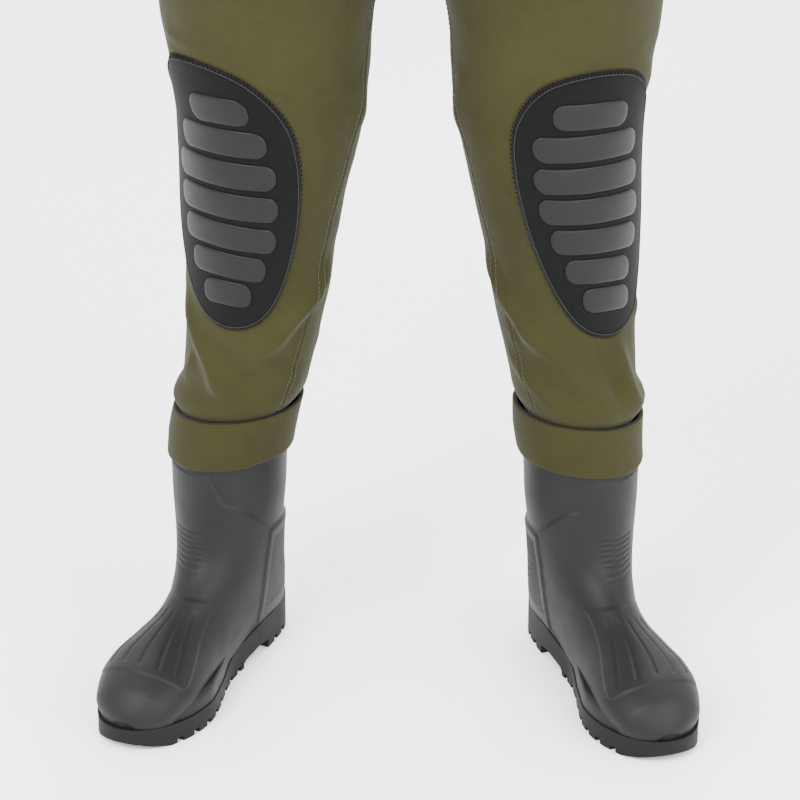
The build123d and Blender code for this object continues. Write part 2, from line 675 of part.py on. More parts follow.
write(d_ring.part.moved(ring_plane.location), "d_ring")

tab_side = Plane(origin=ring_plane.origin, x_dir=(out_x, out_y, 0), z_dir=(-cos(facing), -sin(facing), 0))
with BuildPart() as d_ring_tab:
    with BuildSketch(tab_side):
        Circle(3.9)
        Circle(2.5, mode=Mode.SUBTRACT)
        with Locations((-2.4, 21)):
            Rectangle(2.6, 36)
    extrude(amount=12.5, both=True)
write(d_ring_tab.part, "d_ring_tab")
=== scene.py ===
from functools import lru_cache
from math import acos, atan2, cos, exp, hypot, pi, radians, sin, sqrt

import bmesh
import bpy
from bpy.props import FloatProperty, FloatVectorProperty, IntProperty, PointerProperty
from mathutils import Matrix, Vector, noise


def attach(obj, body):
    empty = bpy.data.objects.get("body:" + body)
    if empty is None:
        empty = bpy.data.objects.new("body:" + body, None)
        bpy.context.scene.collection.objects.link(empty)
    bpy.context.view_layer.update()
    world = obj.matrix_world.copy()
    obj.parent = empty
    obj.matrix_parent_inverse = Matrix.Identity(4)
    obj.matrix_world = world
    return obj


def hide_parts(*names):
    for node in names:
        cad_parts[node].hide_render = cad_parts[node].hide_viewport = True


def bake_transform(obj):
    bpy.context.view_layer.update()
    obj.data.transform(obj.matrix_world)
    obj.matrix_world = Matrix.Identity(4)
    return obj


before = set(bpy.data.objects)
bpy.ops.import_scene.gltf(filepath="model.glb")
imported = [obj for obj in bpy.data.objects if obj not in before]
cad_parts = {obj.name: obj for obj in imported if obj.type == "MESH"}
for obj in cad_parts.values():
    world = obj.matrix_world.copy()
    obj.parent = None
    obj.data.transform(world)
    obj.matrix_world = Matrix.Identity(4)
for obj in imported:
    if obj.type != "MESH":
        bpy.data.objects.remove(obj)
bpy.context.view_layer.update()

bl_info = {
    "name": "Chest waders",
    "version": (1, 0, 0),
    "blender": (4, 5, 0),
    "location": "3D View > Sidebar > Waders",
    "description": "Neoprene chest waders with knee pads, turned cuffs and moulded boots",
    "category": "Object",
}

MM = 0.001
LEFT, RIGHT = 1, -1
SIDE_NAME = {LEFT: "left", RIGHT: "right"}

# ------------------------------------------------------------------ the suit's sizes, in mm
BODY_Y = 27.7
SHIN_END = 226.0
TORSO_FROM = 720
ROWS_TO_RIM_FROM = 1150
# height, middle x, middle y from BODY_Y, half width, half depth
STATIONS = [
    (226, 167.9, -1.0, 47.2, 50.4), (244, 167.5, -0.8, 47.5, 50.7), (258, 166.2, 0.2, 48.8, 52.2),
    (271, 162.6, 2.0, 53.2, 57.4), (285, 158.6, 3.6, 57.2, 62.6), (312, 153.5, 4.0, 60.5, 67.0),
    (370, 145.5, 2.0, 65.5, 73.0), (430, 140.0, -2.0, 70.5, 77.0), (490, 134.0, -6.0, 76.0, 81.0),
    (530, 129.5, -7.0, 80.5, 84.0), (570, 126.5, -5.0, 85.5, 89.0), (612, 128.0, -2.0, 91.5, 95.0),
    (665, 130.0, 0.0, 97.5, 102.0), (740, 124.0, 2.0, 107.0, 110.0), (810, 115.5, 4.0, 114.7, 119.0),
    (870, 86.0, 5.0, 145.0, 131.0), (935, 42.0, 5.0, 185.0, 139.0), (1000, 0.0, 5.0, 221.0, 141.0),
    (1040, 0.0, 5.0, 211.5, 135.4), (1080, 0.0, 5.0, 204.0, 131.0), (1125, 0.0, 5.0, 204.6, 132.2),
    (1170, 0.0, 5.0, 206.0, 134.0), (1215, 0.0, 5.0, 207.0, 135.4), (1260, 0.0, 5.0, 207.0, 136.0),
    (1305, 0.0, 5.0, 205.2, 135.0), (1350, 0.0, 5.0, 202.0, 133.0),
]
# the bib's top edge: front-to-back place from BODY_Y, height
RIM = [
    (-165, 1330), (-118, 1330), (-92, 1306), (-58, 1228), (-12, 1192), (52, 1192), (112, 1234), (165, 1242),
]
# where the inseam runs: height, angle round the leg (0 outer side, -90 front, -180 inner side)
INSEAM = [
    (226, -130), (272, -131), (330, -138), (400, -146), (500, -154), (600, -163), (700, -172), (806, -179),
]
SIDE_SEAM = [(226, 15), (740, 15), (1000, 6), (1300, 6)]

# folds of each leg: start angle and height, end angle and height, half width mm, height mm
FOLDS = {
    RIGHT: [
        (-158, 412, -112, 352, 13, 5.2), (-112, 352, -64, 306, 12, 4.6), (-24, 372, -74, 300, 9, 4.0),
        (-26, 650, -62, 640, 6, 1.9), (-22, 634, -50, 627, 5, 1.4), (-32, 324, -20, 302, 7, 2.2),
        (-100, 330, -150, 300, 9, 2.4), (-16, 585, 10, 566, 14, -3.5), (20, 470, 120, 520, 12, 3.0),
        (30, 560, 130, 600, 14, 2.6), (160, 330, 60, 300, 11, 3.4), (-172, 560, -150, 600, 12, 2.0),
        (-60, 352, -100, 318, 8, -2.6), (-140, 372, -90, 322, 9, -2.8), (70, 420, 150, 455, 10, -2.4),
    ],
    LEFT: [
        (-158, 424, -120, 362, 12, 4.6), (-120, 362, -62, 292, 12, 4.8), (-46, 356, -24, 290, 9, 4.4),
        (-150, 330, -110, 292, 9, 2.6), (-10, 600, -40, 640, 10, 1.8), (-30, 420, -8, 372, 10, 2.2),
        (-66, 350, -46, 300, 8, -3.0), (-140, 372, -98, 330, 9, -2.6), (20, 470, 120, 520, 12, 3.0),
        (30, 560, 130, 600, 14, 2.6), (160, 330, 60, 300, 11, 3.4), (-170, 560, -150, 610, 12, 2.0),
        (70, 420, 150, 455, 10, -2.4), (-100, 300, -60, 282, 6, 2.0),
    ],
}
TORSO_FOLDS = [
    (-172, 830, -120, 900, 16, -4.0), (-165, 860, -60, 905, 14, 3.0), (165, 850, 90, 900, 16, 3.4),
    (-20, 985, -70, 1010, 14, 2.4), (30, 1010, 80, 985, 14, 2.4), (-30, 1040, -80, 1052, 8, 2.0),
    (20, 1125, 70, 1118, 9, 1.8), (-20, 1130, -60, 1120, 9, 1.6), (-88, 760, -40, 790, 16, 2.2),
]

PAD_Z = 495.0
PAD_HALF_WIDE = 88
PAD_HALF_TALL = 132
# rounded radii in mm that turn angles into distances along the foam
PAD_RADIUS = 78
LEG_RADIUS = 70
TORSO_RADIUS = 130
SEAM_RADIUS = 75
# each knee pad: how far it faces outward in degrees, lean, share of the full width and height, lift in mm
PADS = {RIGHT: (28.0, 0.14, 0.86, 1.0, 7.0), LEFT: (33.0, -0.08, 0.85, 1.02, 3.0)}
PAD_OUTLINE = [
    (0, 132), (46, 121), (76, 86), (88, 32), (86, -30), (68, -86), (40, -121),
    (0, -132), (-40, -121), (-68, -86), (-86, -30), (-88, 32), (-76, 86), (-46, 121),
]
# ribs of each pad, top to bottom: middle across, middle height, width, slope
BARS = {
    RIGHT: [(-14, 89, 62, 0), (-7, 59, 98, 1), (-3, 28, 119, 2), (-3, -3, 121, 3), (-3, -34, 114, 5),
            (-1, -64, 92, 6), (2, -93, 60, 5)],
    LEFT: [(-3, 93, 76, -2), (-5, 62, 114, -1), (-6, 31, 121, -1), (-7, 0, 122, -2), (-7, -31, 110, -3),
           (-10, -62, 84, -4), (-4, -93, 66, -4)],
}
BAR_TALL = 25.5

BOOT_X = 171.0
BOOT_TURN = 22.0
# forward and height of a section's upper point, the same of its lower point, half width,
# sideways shift, squareness of the lower half
BOOT_SECTIONS = [
    (57.5, 262, -57.5, 262, 53.5, -3.5, 1), (58, 241, -58, 241, 54, -3.2, 1),
    (58.5, 220, -58.5, 220, 54.3, -3, 1), (58.9, 198, -58.4, 197, 53.6, -2.8, 1),
    (59, 175, -58, 172, 52.5, -2.5, 1), (61, 146, -59, 132, 48.5, -1.5, 0.95),
    (67, 123, -65, 96, 45, -0.5, 0.9), (81, 107, -75, 58, 41.5, 0, 0.85), (99, 96, -74, 20, 38.5, 1, 0.75),
    (119, 88, -38, 4, 37.5, 3, 0.7), (141, 81, 28, 4, 41, 5, 0.65), (165, 74, 92, 4, 47.5, 5, 0.6),
    (188, 67, 143, 4, 49, 2, 0.6), (206, 58, 184, 6, 41.5, 0.5, 0.6), (214, 50, 198, 8, 35, 0.5, 0.6),
    (220.5, 40, 209, 10, 24, 0, 0.65), (223.5, 33, 217, 14, 12, 0, 0.8),
]
# the sole's edge: distance from the heel's back, distance inward
HEEL_BACK = 80
SOLE_OUTLINE = [
    (0, 0), (10, 24), (50, 34.5), (90, 35), (140, 33), (190, 45), (225, 51.5), (262, 45), (292, 26),
    (304, 0), (297, -25), (272, -43), (235, -53), (190, -56), (140, -48), (90, -38), (50, -36), (10, -24),
]
CUFF_LEAN = 5.0
BOOT_ROWS = [(i, *row) for i, row in enumerate(BOOT_SECTIONS)]
CUFF_LEVELS = [(221, 167.4, -1.2, 56.0, 59.8), (270, 161.9, 1.4, 58.0, 61.8)]

STRAP_FRONT = (112.0, BODY_Y - 115.0)
STRAP_BACK = (37.0, BODY_Y + 144.2)
STRAP_TURN = atan2(STRAP_FRONT[0] - STRAP_BACK[0], STRAP_BACK[1] - STRAP_FRONT[1])
STRAP_RUN = hypot(STRAP_FRONT[0] - STRAP_BACK[0], STRAP_BACK[1] - STRAP_FRONT[1])
WEB_WIDE = 38
WEB_THICK = 2.3
ROUND_BAR = 3.35
LEAD_TOP_Z = 1480.3
PRONG_BAR_Z = 1394.9
SOCKET_BAR_Z = 1341.7
BELT_Z = 1080.0
BELT_THICK = 2.2
BELT_OFF = 2.1
BELT_BUCKLE_Y = BODY_Y - 134.8
LOOP_WIDE = 22
LOOP_THICK = 1.7
FLAP_HINGE_Y = BODY_Y - 132.4
POCKET_HALF = 68
POCKET_LOW = 1150
POCKET_TALL = 138
RING_X = 112
RING_Z = 1196
TAB_WIDE = 25
TAB_THICK = 1.4
# length of a stitch and the gap after it
STITCH = (3.0, 1.5)


# ------------------------------------------------------------------ plain helpers
def ease(t):
    """0 to 1 with level ends, held outside 0..1."""
    t = min(max(t, 0.0), 1.0)
    return t * t * (3 - 2 * t)


def through(rows, x):
    """A smooth line through rows of (x, value...), held at the ends."""
    if x <= rows[0][0]:
        return list(rows[0][1:])
    if x >= rows[-1][0]:
        return list(rows[-1][1:])
    i = max(k for k in range(len(rows) - 1) if rows[k][0] <= x)
    a, b = rows[i], rows[i + 1]
    before, after = rows[max(i - 1, 0)], rows[min(i + 2, len(rows) - 1)]
    span = b[0] - a[0]
    t = (x - a[0]) / span
    values = []
    for k in range(1, len(a)):
        slope_a = (b[k] - before[k]) / (b[0] - before[0]) * span
        slope_b = (after[k] - a[k]) / (after[0] - a[0]) * span
        values.append(
            (2 * t**3 - 3 * t**2 + 1) * a[k] + (t**3 - 2 * t**2 + t) * slope_a
            + (3 * t**2 - 2 * t**3) * b[k] + (t**3 - t**2) * slope_b
        )
    return values


def closed_through(points, count):
    """Evenly parametered points on a smooth closed line through the given ones."""
    n = len(points)
    made = []
    for k in range(count):
        u = k * n / count
        i, t = int(u) % n, u - int(u)
        p = [points[(i + j) % n] for j in (-1, 0, 1, 2)]
        made.append(tuple(
            0.5 * (
                2 * p[1][c] + (p[2][c] - p[0][c]) * t
                + (2 * p[0][c] - 5 * p[1][c] + 4 * p[2][c] - p[3][c]) * t * t
                + (3 * p[1][c] - p[0][c] - 3 * p[2][c] + p[3][c]) * t**3
            )
            for c in range(2)
        ))
    return made


def near_line(a, z, a0, z0, a1, z1, radius):
    """Distance in mm from a point on the leg to a fold line, and how far along it the nearest point is."""
    across, up = (a1 - a0) * pi / 180 * radius, z1 - z0
    px, pz = (a - a0) * pi / 180 * radius, z - z0
    length2 = across * across + up * up
    t = min(max((px * across + pz * up) / length2, -0.3), 1.3)
    return hypot(px - t * across, pz - t * up), t


def mesh_piece(name, points, faces, material, uvs=None, smooth=True):
    """A new mesh object from points in mm, with one material."""
    mesh = bpy.data.meshes.new(name)
    mesh.from_pydata([Vector(p) * MM for p in points], [], faces)
    mesh.materials.append(material)
    if smooth:
        mesh.polygons.foreach_set("use_smooth", [True] * len(mesh.polygons))
    if uvs is not None:
        layer = mesh.uv_layers.new(name="cloth")
        for loop in mesh.loops:
            layer.data[loop.index].uv = uvs[loop.vertex_index]
    mesh.update()
    piece = bpy.data.objects.new(name, mesh)
    bpy.context.scene.collection.objects.link(piece)
    return piece


def grid_piece(name, rows, material, wrap=False, ring=False, flip=False, uvs=None, caps=False):
    """A mesh from rows of points; wrap joins each row's ends, ring joins the last row to the first."""
    count = len(rows[0])
    points = [p for row in rows for p in row]
    faces = []
    for r in range(len(rows) - (0 if ring else 1)):
        for c in range(count - (0 if wrap else 1)):
            quad = [
                r * count + c, r * count + (c + 1) % count,
                (r + 1) % len(rows) * count + (c + 1) % count, (r + 1) % len(rows) * count + c,
            ]
            faces.append(quad[::-1] if flip else quad)
    if caps:
        first = list(range(count))
        last = [(len(rows) - 1) * count + c for c in range(count)]
        faces.append(first if flip else first[::-1])
        faces.append(last[::-1] if flip else last)
    return mesh_piece(name, points, faces, material, None if uvs is None else [u for row in uvs for u in row])


def merge_and_face_out(piece, distance=0.0001):
    """Joins points that coincide and turns every face outward."""
    shape = bmesh.new()
    shape.from_mesh(piece.data)
    bmesh.ops.remove_doubles(shape, verts=shape.verts, dist=distance)
    bmesh.ops.recalc_face_normals(shape, faces=shape.faces)
    shape.to_mesh(piece.data)
    shape.free()
    return piece


def tubes(name, paths, radius, material, sides=6, closed=False):
    """Round threads along paths of mm points, all in one mesh."""
    points, faces = [], []
    for path in paths:
        path = [Vector(p) for p in path]
        count, start = len(path), len(points)
        up = Vector((0.31, 0.17, 0.93))
        for i, p in enumerate(path):
            ahead = path[(i + 1) % count] if closed or i < count - 1 else p
            behind = path[i - 1] if closed or i > 0 else p
            along = (ahead - behind).normalized()
            side = along.cross(up).normalized()
            over = side.cross(along)
            for k in range(sides):
                turn = 2 * pi * k / sides
                points.append(p + radius * (cos(turn) * side + sin(turn) * over))
        for i in range(count if closed else count - 1):
            j = (i + 1) % count
            for k in range(sides):
                m = (k + 1) % sides
                here, there = start + i * sides, start + j * sides
                faces.append([here + k, here + m, there + m, there + k])
        if not closed:
            faces.append([start + k for k in range(sides)][::-1])
            faces.append([start + (count - 1) * sides + k for k in range(sides)])
    return mesh_piece(name, points, faces, material)


def spaced(path, step):
    """Points every step mm along a path."""
    path = [Vector(p) for p in path]
    made, carried = [path[0]], 0.0
    for a, b in zip(path, path[1:]):
        length = (b - a).length
        place = step - carried
        while place <= length:
            made.append(a.lerp(b, place / length))
            place += step
        carried = (carried + length) % step if length else carried
    return made


def dashes(path, length=3.0, gap=1.3):
    """A line of stitches along a path."""
    fine = spaced(path, (length + gap) / 4)
    return [fine[i:i + 4] for i in range(0, len(fine) - 4, 4)]


def zigzag(inner, outer):
    """A thread that crosses back and forth between two matching paths."""
    return [p if i % 2 else q for i, (p, q) in enumerate(zip(inner, outer))]


def rounded_path(points, radii, steps=10):
    """A flat path whose inner corners are rounded by arcs."""
    made = [Vector(points[0])]
    for before, corner, after, radius in zip(points, points[1:], points[2:], radii):
        before, corner, after = Vector(before), Vector(corner), Vector(after)
        a, b = (before - corner).normalized(), (after - corner).normalized()
        half = acos(max(-1, min(1, a.dot(b)))) / 2
        middle = corner + (a + b).normalized() * (radius / sin(half))
        cut = radius / (sin(half) / cos(half))
        start, end = corner + a * cut, corner + b * cut
        for k in range(steps + 1):
            made.append(middle + (start - middle).lerp(end - middle, k / steps).normalized() * radius)
    made.append(Vector(points[-1]))
    return made


# ------------------------------------------------------------------ the suit's surface
@lru_cache(maxsize=None)
def section(z):
    """Middle x, middle y, half width and half depth of the suit at this height."""
    return tuple(through(STATIONS, z))


@lru_cache(maxsize=None)
def seam_angles(z):
    """Where the inseam and the side seam stand round the leg at this height, in degrees."""
    return [through(seam, z)[0] for seam in (INSEAM, SIDE_SEAM)]


def reach(z):
    """Half the turn that one side's skin covers at this height: a full leg, or half the torso."""
    middle_x, _, half_width, _ = section(z)
    return pi if middle_x >= half_width else acos(max(-1.0, -middle_x / half_width))


def skin(hand, a, z, off=0.0):
    """A point on the suit, at angle a round one side's section (degrees), off mm outside the foam."""
    middle_x, middle_y, half_width, half_depth = section(z)
    turn = radians(a)
    x = middle_x + (half_width + off) * cos(turn)
    y = middle_y + BODY_Y + (half_depth + off) * sin(turn)
    return Vector((hand * x + stance(z), y, z))


@lru_cache(maxsize=None)
def stance(z):
    """The wearer's legs lean a little to their left between the boots and the hips."""
    return 5.0 * ease((z - 235) / 60) * (1 - ease((z - 680) / 280))


def under_pad(hand, a, z):
    """1 where a knee pad holds the foam smooth, falling to 0 around it."""
    facing, lean, wide, tall, lift = PADS[hand]
    v = z - PAD_Z - lift
    u = (a + 90 - facing) * pi / 180 * PAD_RADIUS - lean * v
    inside = hypot(u / (PAD_HALF_WIDE * wide), v / (PAD_HALF_TALL * tall))
    return 1 - ease((inside - 0.95) / 0.25)


def relief(hand, a, z):
    """How far the foam stands out or in from its plain section: folds, seams and unevenness."""
    fit = bpy.context.scene.waders_fit
    made = 0.0
    for a0, z0, a1, z1, width, tall in (TORSO_FOLDS if z > TORSO_FROM else FOLDS[hand]):
        d, t = near_line(a, z, a0, z0, a1, z1, LEG_RADIUS if z < TORSO_FROM else TORSO_RADIUS)
        if d < 3 * width:
            fade = ease((t + 0.3) / 0.45) * ease((1.3 - t) / 0.45)
            made += tall * fade * exp(-(d / width) ** 2) * fit.fold_depth
    made *= 1 - under_pad(hand, a, z)
    place = skin(hand, a, z) / 55
    made += (1.6 * noise.noise(place) + 0.5 * noise.noise(place * 2.7)) * (1 - 0.8 * under_pad(hand, a, z))
    made *= ease((z - 236) / 40)
    # the leg fills out just above the cuff, which is lower on its outer side
    made += (5.6 + 3.6 * cos(radians(a))) * exp(-((z - 281 + 5 * cos(radians(a))) / 14) ** 2)
    for seam in seam_angles(z):
        d = (a - seam) * pi / 180 * SEAM_RADIUS
        made -= 0.9 * exp(-(d / 1.6) ** 2) - 0.35 * exp(-((abs(d) - 4) / 2.2) ** 2)
    return made


def cloth(hand, a, z, off=0.0):
    """A point on the real, folded suit."""
    return skin(hand, a, z, off + relief(hand, a, z))


def rim_height(a, hand=LEFT):
    """How high the bib's edge stands at this share (-1 to 1) of the half torso's turn."""
    z = 1250.0
    for _ in range(25):
        y = skin(hand, a * reach(z) * 180 / pi, z).y - BODY_Y
        z += 0.6 * (through(RIM, y)[0] - z)
    return z


def chest(x, z, off=0.0, back=False):
    """A point on the bib by its place across the chest."""
    _, middle_y, half_width, half_depth = section(z)
    deep = (half_depth + off) * sqrt(max(0.0, 1 - (x / (half_width + off)) ** 2))
    return Vector((x, BODY_Y + middle_y + (deep if back else -deep), z))


def pad_point(hand, u, v, off):
    """A point over the knee: u mm across, outward positive, and v mm up from the pad's middle."""
    facing, lean, wide, tall, lift = PADS[hand]
    a = -90 + facing + (u + lean * v) / PAD_RADIUS * 180 / pi
    return cloth(hand, a, PAD_Z + lift + v, off)


# ------------------------------------------------------------------ shaders
class Value:
    """A node socket that takes part in arithmetic."""

    def __init__(self, shade, socket):
        self.shade, self.socket = shade, socket

    def _math(self, operation, first, second):
        return self.shade.node("ShaderNodeMath", {"operation": operation}, [first, second])

    def __add__(self, other):
        return self._math("ADD", self, other)

    def __radd__(self, other):
        return self._math("ADD", other, self)

    def __sub__(self, other):
        return self._math("SUBTRACT", self, other)

    def __rsub__(self, other):
        return self._math("SUBTRACT", other, self)

    def __mul__(self, other):
        return self._math("MULTIPLY", self, other)

    def __rmul__(self, other):
        return self._math("MULTIPLY", other, self)

    def __pow__(self, other):
        return self._math("POWER", self, other)


class Shade:
    """A material being made around one Principled shader."""

    def __init__(self, name, **settings):
        self.material = bpy.data.materials.new(name)
        self.material.use_nodes = True
        self.tree = self.material.node_tree
        self.shader = next(n for n in self.tree.nodes if n.type == "BSDF_PRINCIPLED")
        for socket, value in settings.items():
            self.shader.inputs[socket.replace("_", " ")].default_value = value

    def node(self, kind, settings=None, values=(), output=0):
        """Adds a node: its settings first, then its sockets by place or name; returns one output."""
        made = self.tree.nodes.new(kind)
        for key, value in (settings or {}).items():
            if key == "stops":
                for stop, (place, colour) in zip(made.color_ramp.elements, value):
                    stop.position, stop.color = place, colour
            else:
                setattr(made, key, value)
        for key, value in (values.items() if isinstance(values, dict) else enumerate(values)):
            if isinstance(value, Value):
                self.tree.links.new(value.socket, made.inputs[key])
            elif value is not None:
                made.inputs[key].default_value = value
        return Value(self, made.outputs[output])

    def place(self, kind="Object"):
        """Where a point is, in the object's own space unless another is named."""
        return self.node("ShaderNodeTexCoord", output=kind)

    def noise(self, scale, detail=2.0, rough=0.5, at=None):
        """Cloudy noise, 0 to 1."""
        return self.node(
            "ShaderNodeTexNoise", None,
            {"Vector": at or self.place(), "Scale": scale, "Detail": detail, "Roughness": rough},
        )

    def wave(self, period, at, direction="X", distortion=0.0):
        """Bands that repeat every period metres."""
        scale = (2 if direction == "DIAGONAL" else 1) * 2 * pi / 20 / period
        return self.node(
            "ShaderNodeTexWave", {"wave_type": "BANDS", "bands_direction": direction, "wave_profile": "SIN"},
            {"Vector": at, "Scale": scale, "Distortion": distortion},
        )

    def between(self, value, low, high):
        """0 below low, 1 above high."""
        return self.node(
            "ShaderNodeMapRange", {"clamp": True}, {"Value": value, "From Min": low, "From Max": high}
        )

    def mix(self, share, first, second):
        """One colour fading to another."""
        return self.node(
            "ShaderNodeMix", {"data_type": "RGBA"}, {"Factor": share, 6: first, 7: second}, output=2
        )

    def feed(self, socket, value):
        """Links a value to the shader."""
        self.tree.links.new(value.socket, self.shader.inputs[socket])

    def bump(self, height, distance, strength=1.0):
        """Fine relief, distance in metres."""
        self.feed("Normal", self.node(
            "ShaderNodeBump", None, {"Height": height, "Distance": distance, "Strength": strength}
        ))


def tint(colour, gain=1.0):
    """A colour made lighter or darker, with full opacity."""
    return (*[min(1.0, c * gain) for c in colour], 1.0)


def knitted(name, colour, rough, fine=1.0):
    """Nylon jersey on foam: a fine knit, slight fuzz and slow changes of shade."""
    shade = Shade(name, Sheen_Weight=0.03, Sheen_Roughness=0.5, Specular_IOR_Level=0.08)
    slow = shade.noise(9.0, 3.0)
    grain = shade.noise(750.0 * fine, 2.0, 0.6)
    blotch = shade.noise(70.0, 3.0, 0.6)
    shade.feed("Base Color", shade.mix(
        shade.between(slow * 0.45 + grain * 0.35 + blotch * 0.2, 0.34, 0.66),
        tint(colour, 0.80), tint(colour, 1.20),
    ))
    place = shade.place()
    rib = shade.wave(0.0015 / fine, place, "Z", 0.6)
    shade.feed("Roughness", shade.between(grain, 0.0, 1.0) * 0.12 + (rough - 0.06))
    shade.bump(grain * 0.7 + rib * 0.3, 0.00035, 0.55)
    return shade.material


def moulded(name, colour, rough, speck=1.0, gloss=0.25):
    """Moulded plastic or rubber: even colour with a faint skin texture and scuffs."""
    shade = Shade(name, Specular_IOR_Level=gloss)
    skin_grain = shade.noise(1400.0, 2.0, 0.6)
    slow = shade.noise(14.0, 4.0, 0.55)
    scuff = shade.between(shade.noise(60.0, 5.0, 0.7), 0.52, 0.78)
    base = shade.mix(slow, tint(colour, 0.88), tint(colour, 1.13))
    shade.feed("Base Color", shade.mix(scuff * 0.22 * speck, base, tint(colour, 1.5)))
    shade.feed("Roughness", slow * 0.16 + scuff * 0.08 + (rough - 0.08))
    shade.bump(skin_grain * 0.6 + slow * 0.4, 0.00025, 0.35 * speck)
    return shade.material


def woven(name, colour, rough=0.75):
    """Flat webbing: diagonal weave along the strap, from its own length and width."""
    shade = Shade(name, Sheen_Weight=0.03, Specular_IOR_Level=0.1)
    flat = shade.place("UV")
    first = shade.wave(0.0022, flat, "DIAGONAL")
    second = shade.wave(0.0016, flat, "Y")
    fuzz = shade.noise(900.0, 2.0)
    shade.feed("Base Color", shade.mix(
        shade.between(first * 0.6 + fuzz * 0.4, 0.2, 0.8), tint(colour, 0.7), tint(colour, 1.5)
    ))
    shade.feed("Roughness", fuzz * 0.15 + (rough - 0.07))
    shade.bump(first * 0.6 + second * 0.4, 0.0005, 0.8)
    return shade.material


def metal(name, colour):
    """Steel with a fine grain."""
    shade = Shade(name, Metallic=1.0)
    grain = shade.noise(500.0, 3.0, 0.7)
    shade.feed("Base Color", shade.mix(grain, tint(colour, 0.85), tint(colour, 1.1)))
    shade.feed("Roughness", grain * 0.2 + 0.25)
    shade.bump(grain, 0.0001, 0.3)
    return shade.material


def finish(name):
    """The material of that name, made once."""
    made = bpy.data.materials.get(name)
    if made:
        return made
    look = bpy.context.scene.waders_colours
    recipes = {
        "olive_jersey": lambda: knitted(name, look.jersey, 0.86),
        "cuff_jersey": lambda: knitted(name, [c * 0.98 for c in look.jersey], 0.86),
        "black_lining": lambda: knitted(name, look.lining, 0.9),
        "pad_cloth": lambda: knitted(name, look.pad, 0.85, 1.3),
        "pad_rib_rubber": lambda: moulded(name, look.rib, 0.42, 0.6, 0.17),
        "foam_core": lambda: knitted(name, look.core, 0.9, 1.6),
        "boot_pvc": lambda: moulded(name, look.boot, 0.56, 1.0, 0.17),
        "sole_rubber": lambda: moulded(name, look.sole, 0.68, 1.2, 0.14),
        "insole_cloth": lambda: knitted(name, look.lining, 0.9, 0.8),
        "seam_thread": lambda: moulded(name, look.thread, 0.8, 0.5),
        "black_thread": lambda: moulded(name, look.lining, 0.7, 0.5),
        "black_webbing": lambda: woven(name, look.webbing),
        "black_buckle_plastic": lambda: moulded(name, look.plastic, 0.42, 0.8, 0.14),
        "hook_loop_pile": lambda: knitted(name, look.lining, 0.95, 0.5),
        "ring_steel": lambda: metal(name, look.steel),
    }
    return recipes[name]()


def settle(piece, body="suit", stands_for=(), knee=None):
    """Gives a piece its place in the frame: under a body, or with its placement baked into its points when a
    knee is given.
    """
    if stands_for:
        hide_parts(*stands_for)
    if knee is None:
        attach(piece, body)
    else:
        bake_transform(piece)
    return piece


# ------------------------------------------------------------------ settings
class WadersFit(bpy.types.PropertyGroup):
    foam: FloatProperty(
        name="Foam", description="Thickness of the neoprene in mm", default=4.5, min=2, max=8
    )
    fold_depth: FloatProperty(
        name="Fold depth", description="How strong the folds are", default=1.45, min=0, max=2
    )
    around: IntProperty(
        name="Around", description="Points round one leg", default=150, min=48, max=300
    )
    row: FloatProperty(
        name="Row height", description="Height of one row of the skin in mm", default=4.0, min=2, max=12
    )
    cuff_wall: FloatProperty(name="Cuff wall", description="Thickness of the turned cuff in mm", default=4.2)


def colour(name, description, default):
    """A colour setting."""
    return FloatVectorProperty(
        name=name, description=description, default=default, size=3, subtype="COLOR", min=0, max=1
    )


class WadersColours(bpy.types.PropertyGroup):
    jersey: colour("Jersey", "Olive outer jersey", (0.0155, 0.0147, 0.0042))
    lining: colour("Lining", "Inner jersey", (0.007, 0.007, 0.007))
    pad: colour("Pad", "Knee pad cloth", (0.0012, 0.00125, 0.0013))
    rib: colour("Pad ribs", "Printed rubber ribs", (0.0012, 0.0012, 0.0012))
    core: colour("Core", "Cut edge of the foam", (0.008, 0.008, 0.008))
    boot: colour("Boot", "Moulded boot", (0.0026, 0.0029, 0.0030))
    sole: colour("Sole", "Outsole", (0.0028, 0.0030, 0.0031))
    thread: colour("Thread", "Seam thread", (0.032, 0.032, 0.022))
    webbing: colour("Webbing", "Braces and belt", (0.0022, 0.0022, 0.0022))
    plastic: colour("Plastic", "Buckles", (0.002, 0.002, 0.0021))
    steel: colour("Steel", "Ring", (0.56, 0.56, 0.55))


class WadersStage(bpy.types.PropertyGroup):
    lens: FloatProperty(name="Lens", description="Camera lens", default=151.8, unit="CAMERA")
    distance: FloatProperty(
        name="Distance", description="Camera's distance in front", default=2.896, unit="LENGTH"
    )
    height: FloatProperty(name="Height", description="Camera's height", default=1.611, unit="LENGTH")
    shift: FloatProperty(
        name="To the side", description="Camera's place to the side", default=0.122, unit="LENGTH"
    )
    yaw: FloatProperty(name="Yaw", description="Turn of the camera", default=radians(2.48), unit="ROTATION")
    pitch: FloatProperty(
        name="Pitch", description="Tilt below level", default=radians(24.63), unit="ROTATION"
    )
    key: FloatProperty(name="Key light", description="Power of the main light", default=230.0, unit="POWER")
    fill: FloatProperty(
        name="Fill light", description="Power of the side lights", default=110.0, unit="POWER"
    )
    sky: FloatProperty(name="Surround", description="Brightness all round", default=3.4)


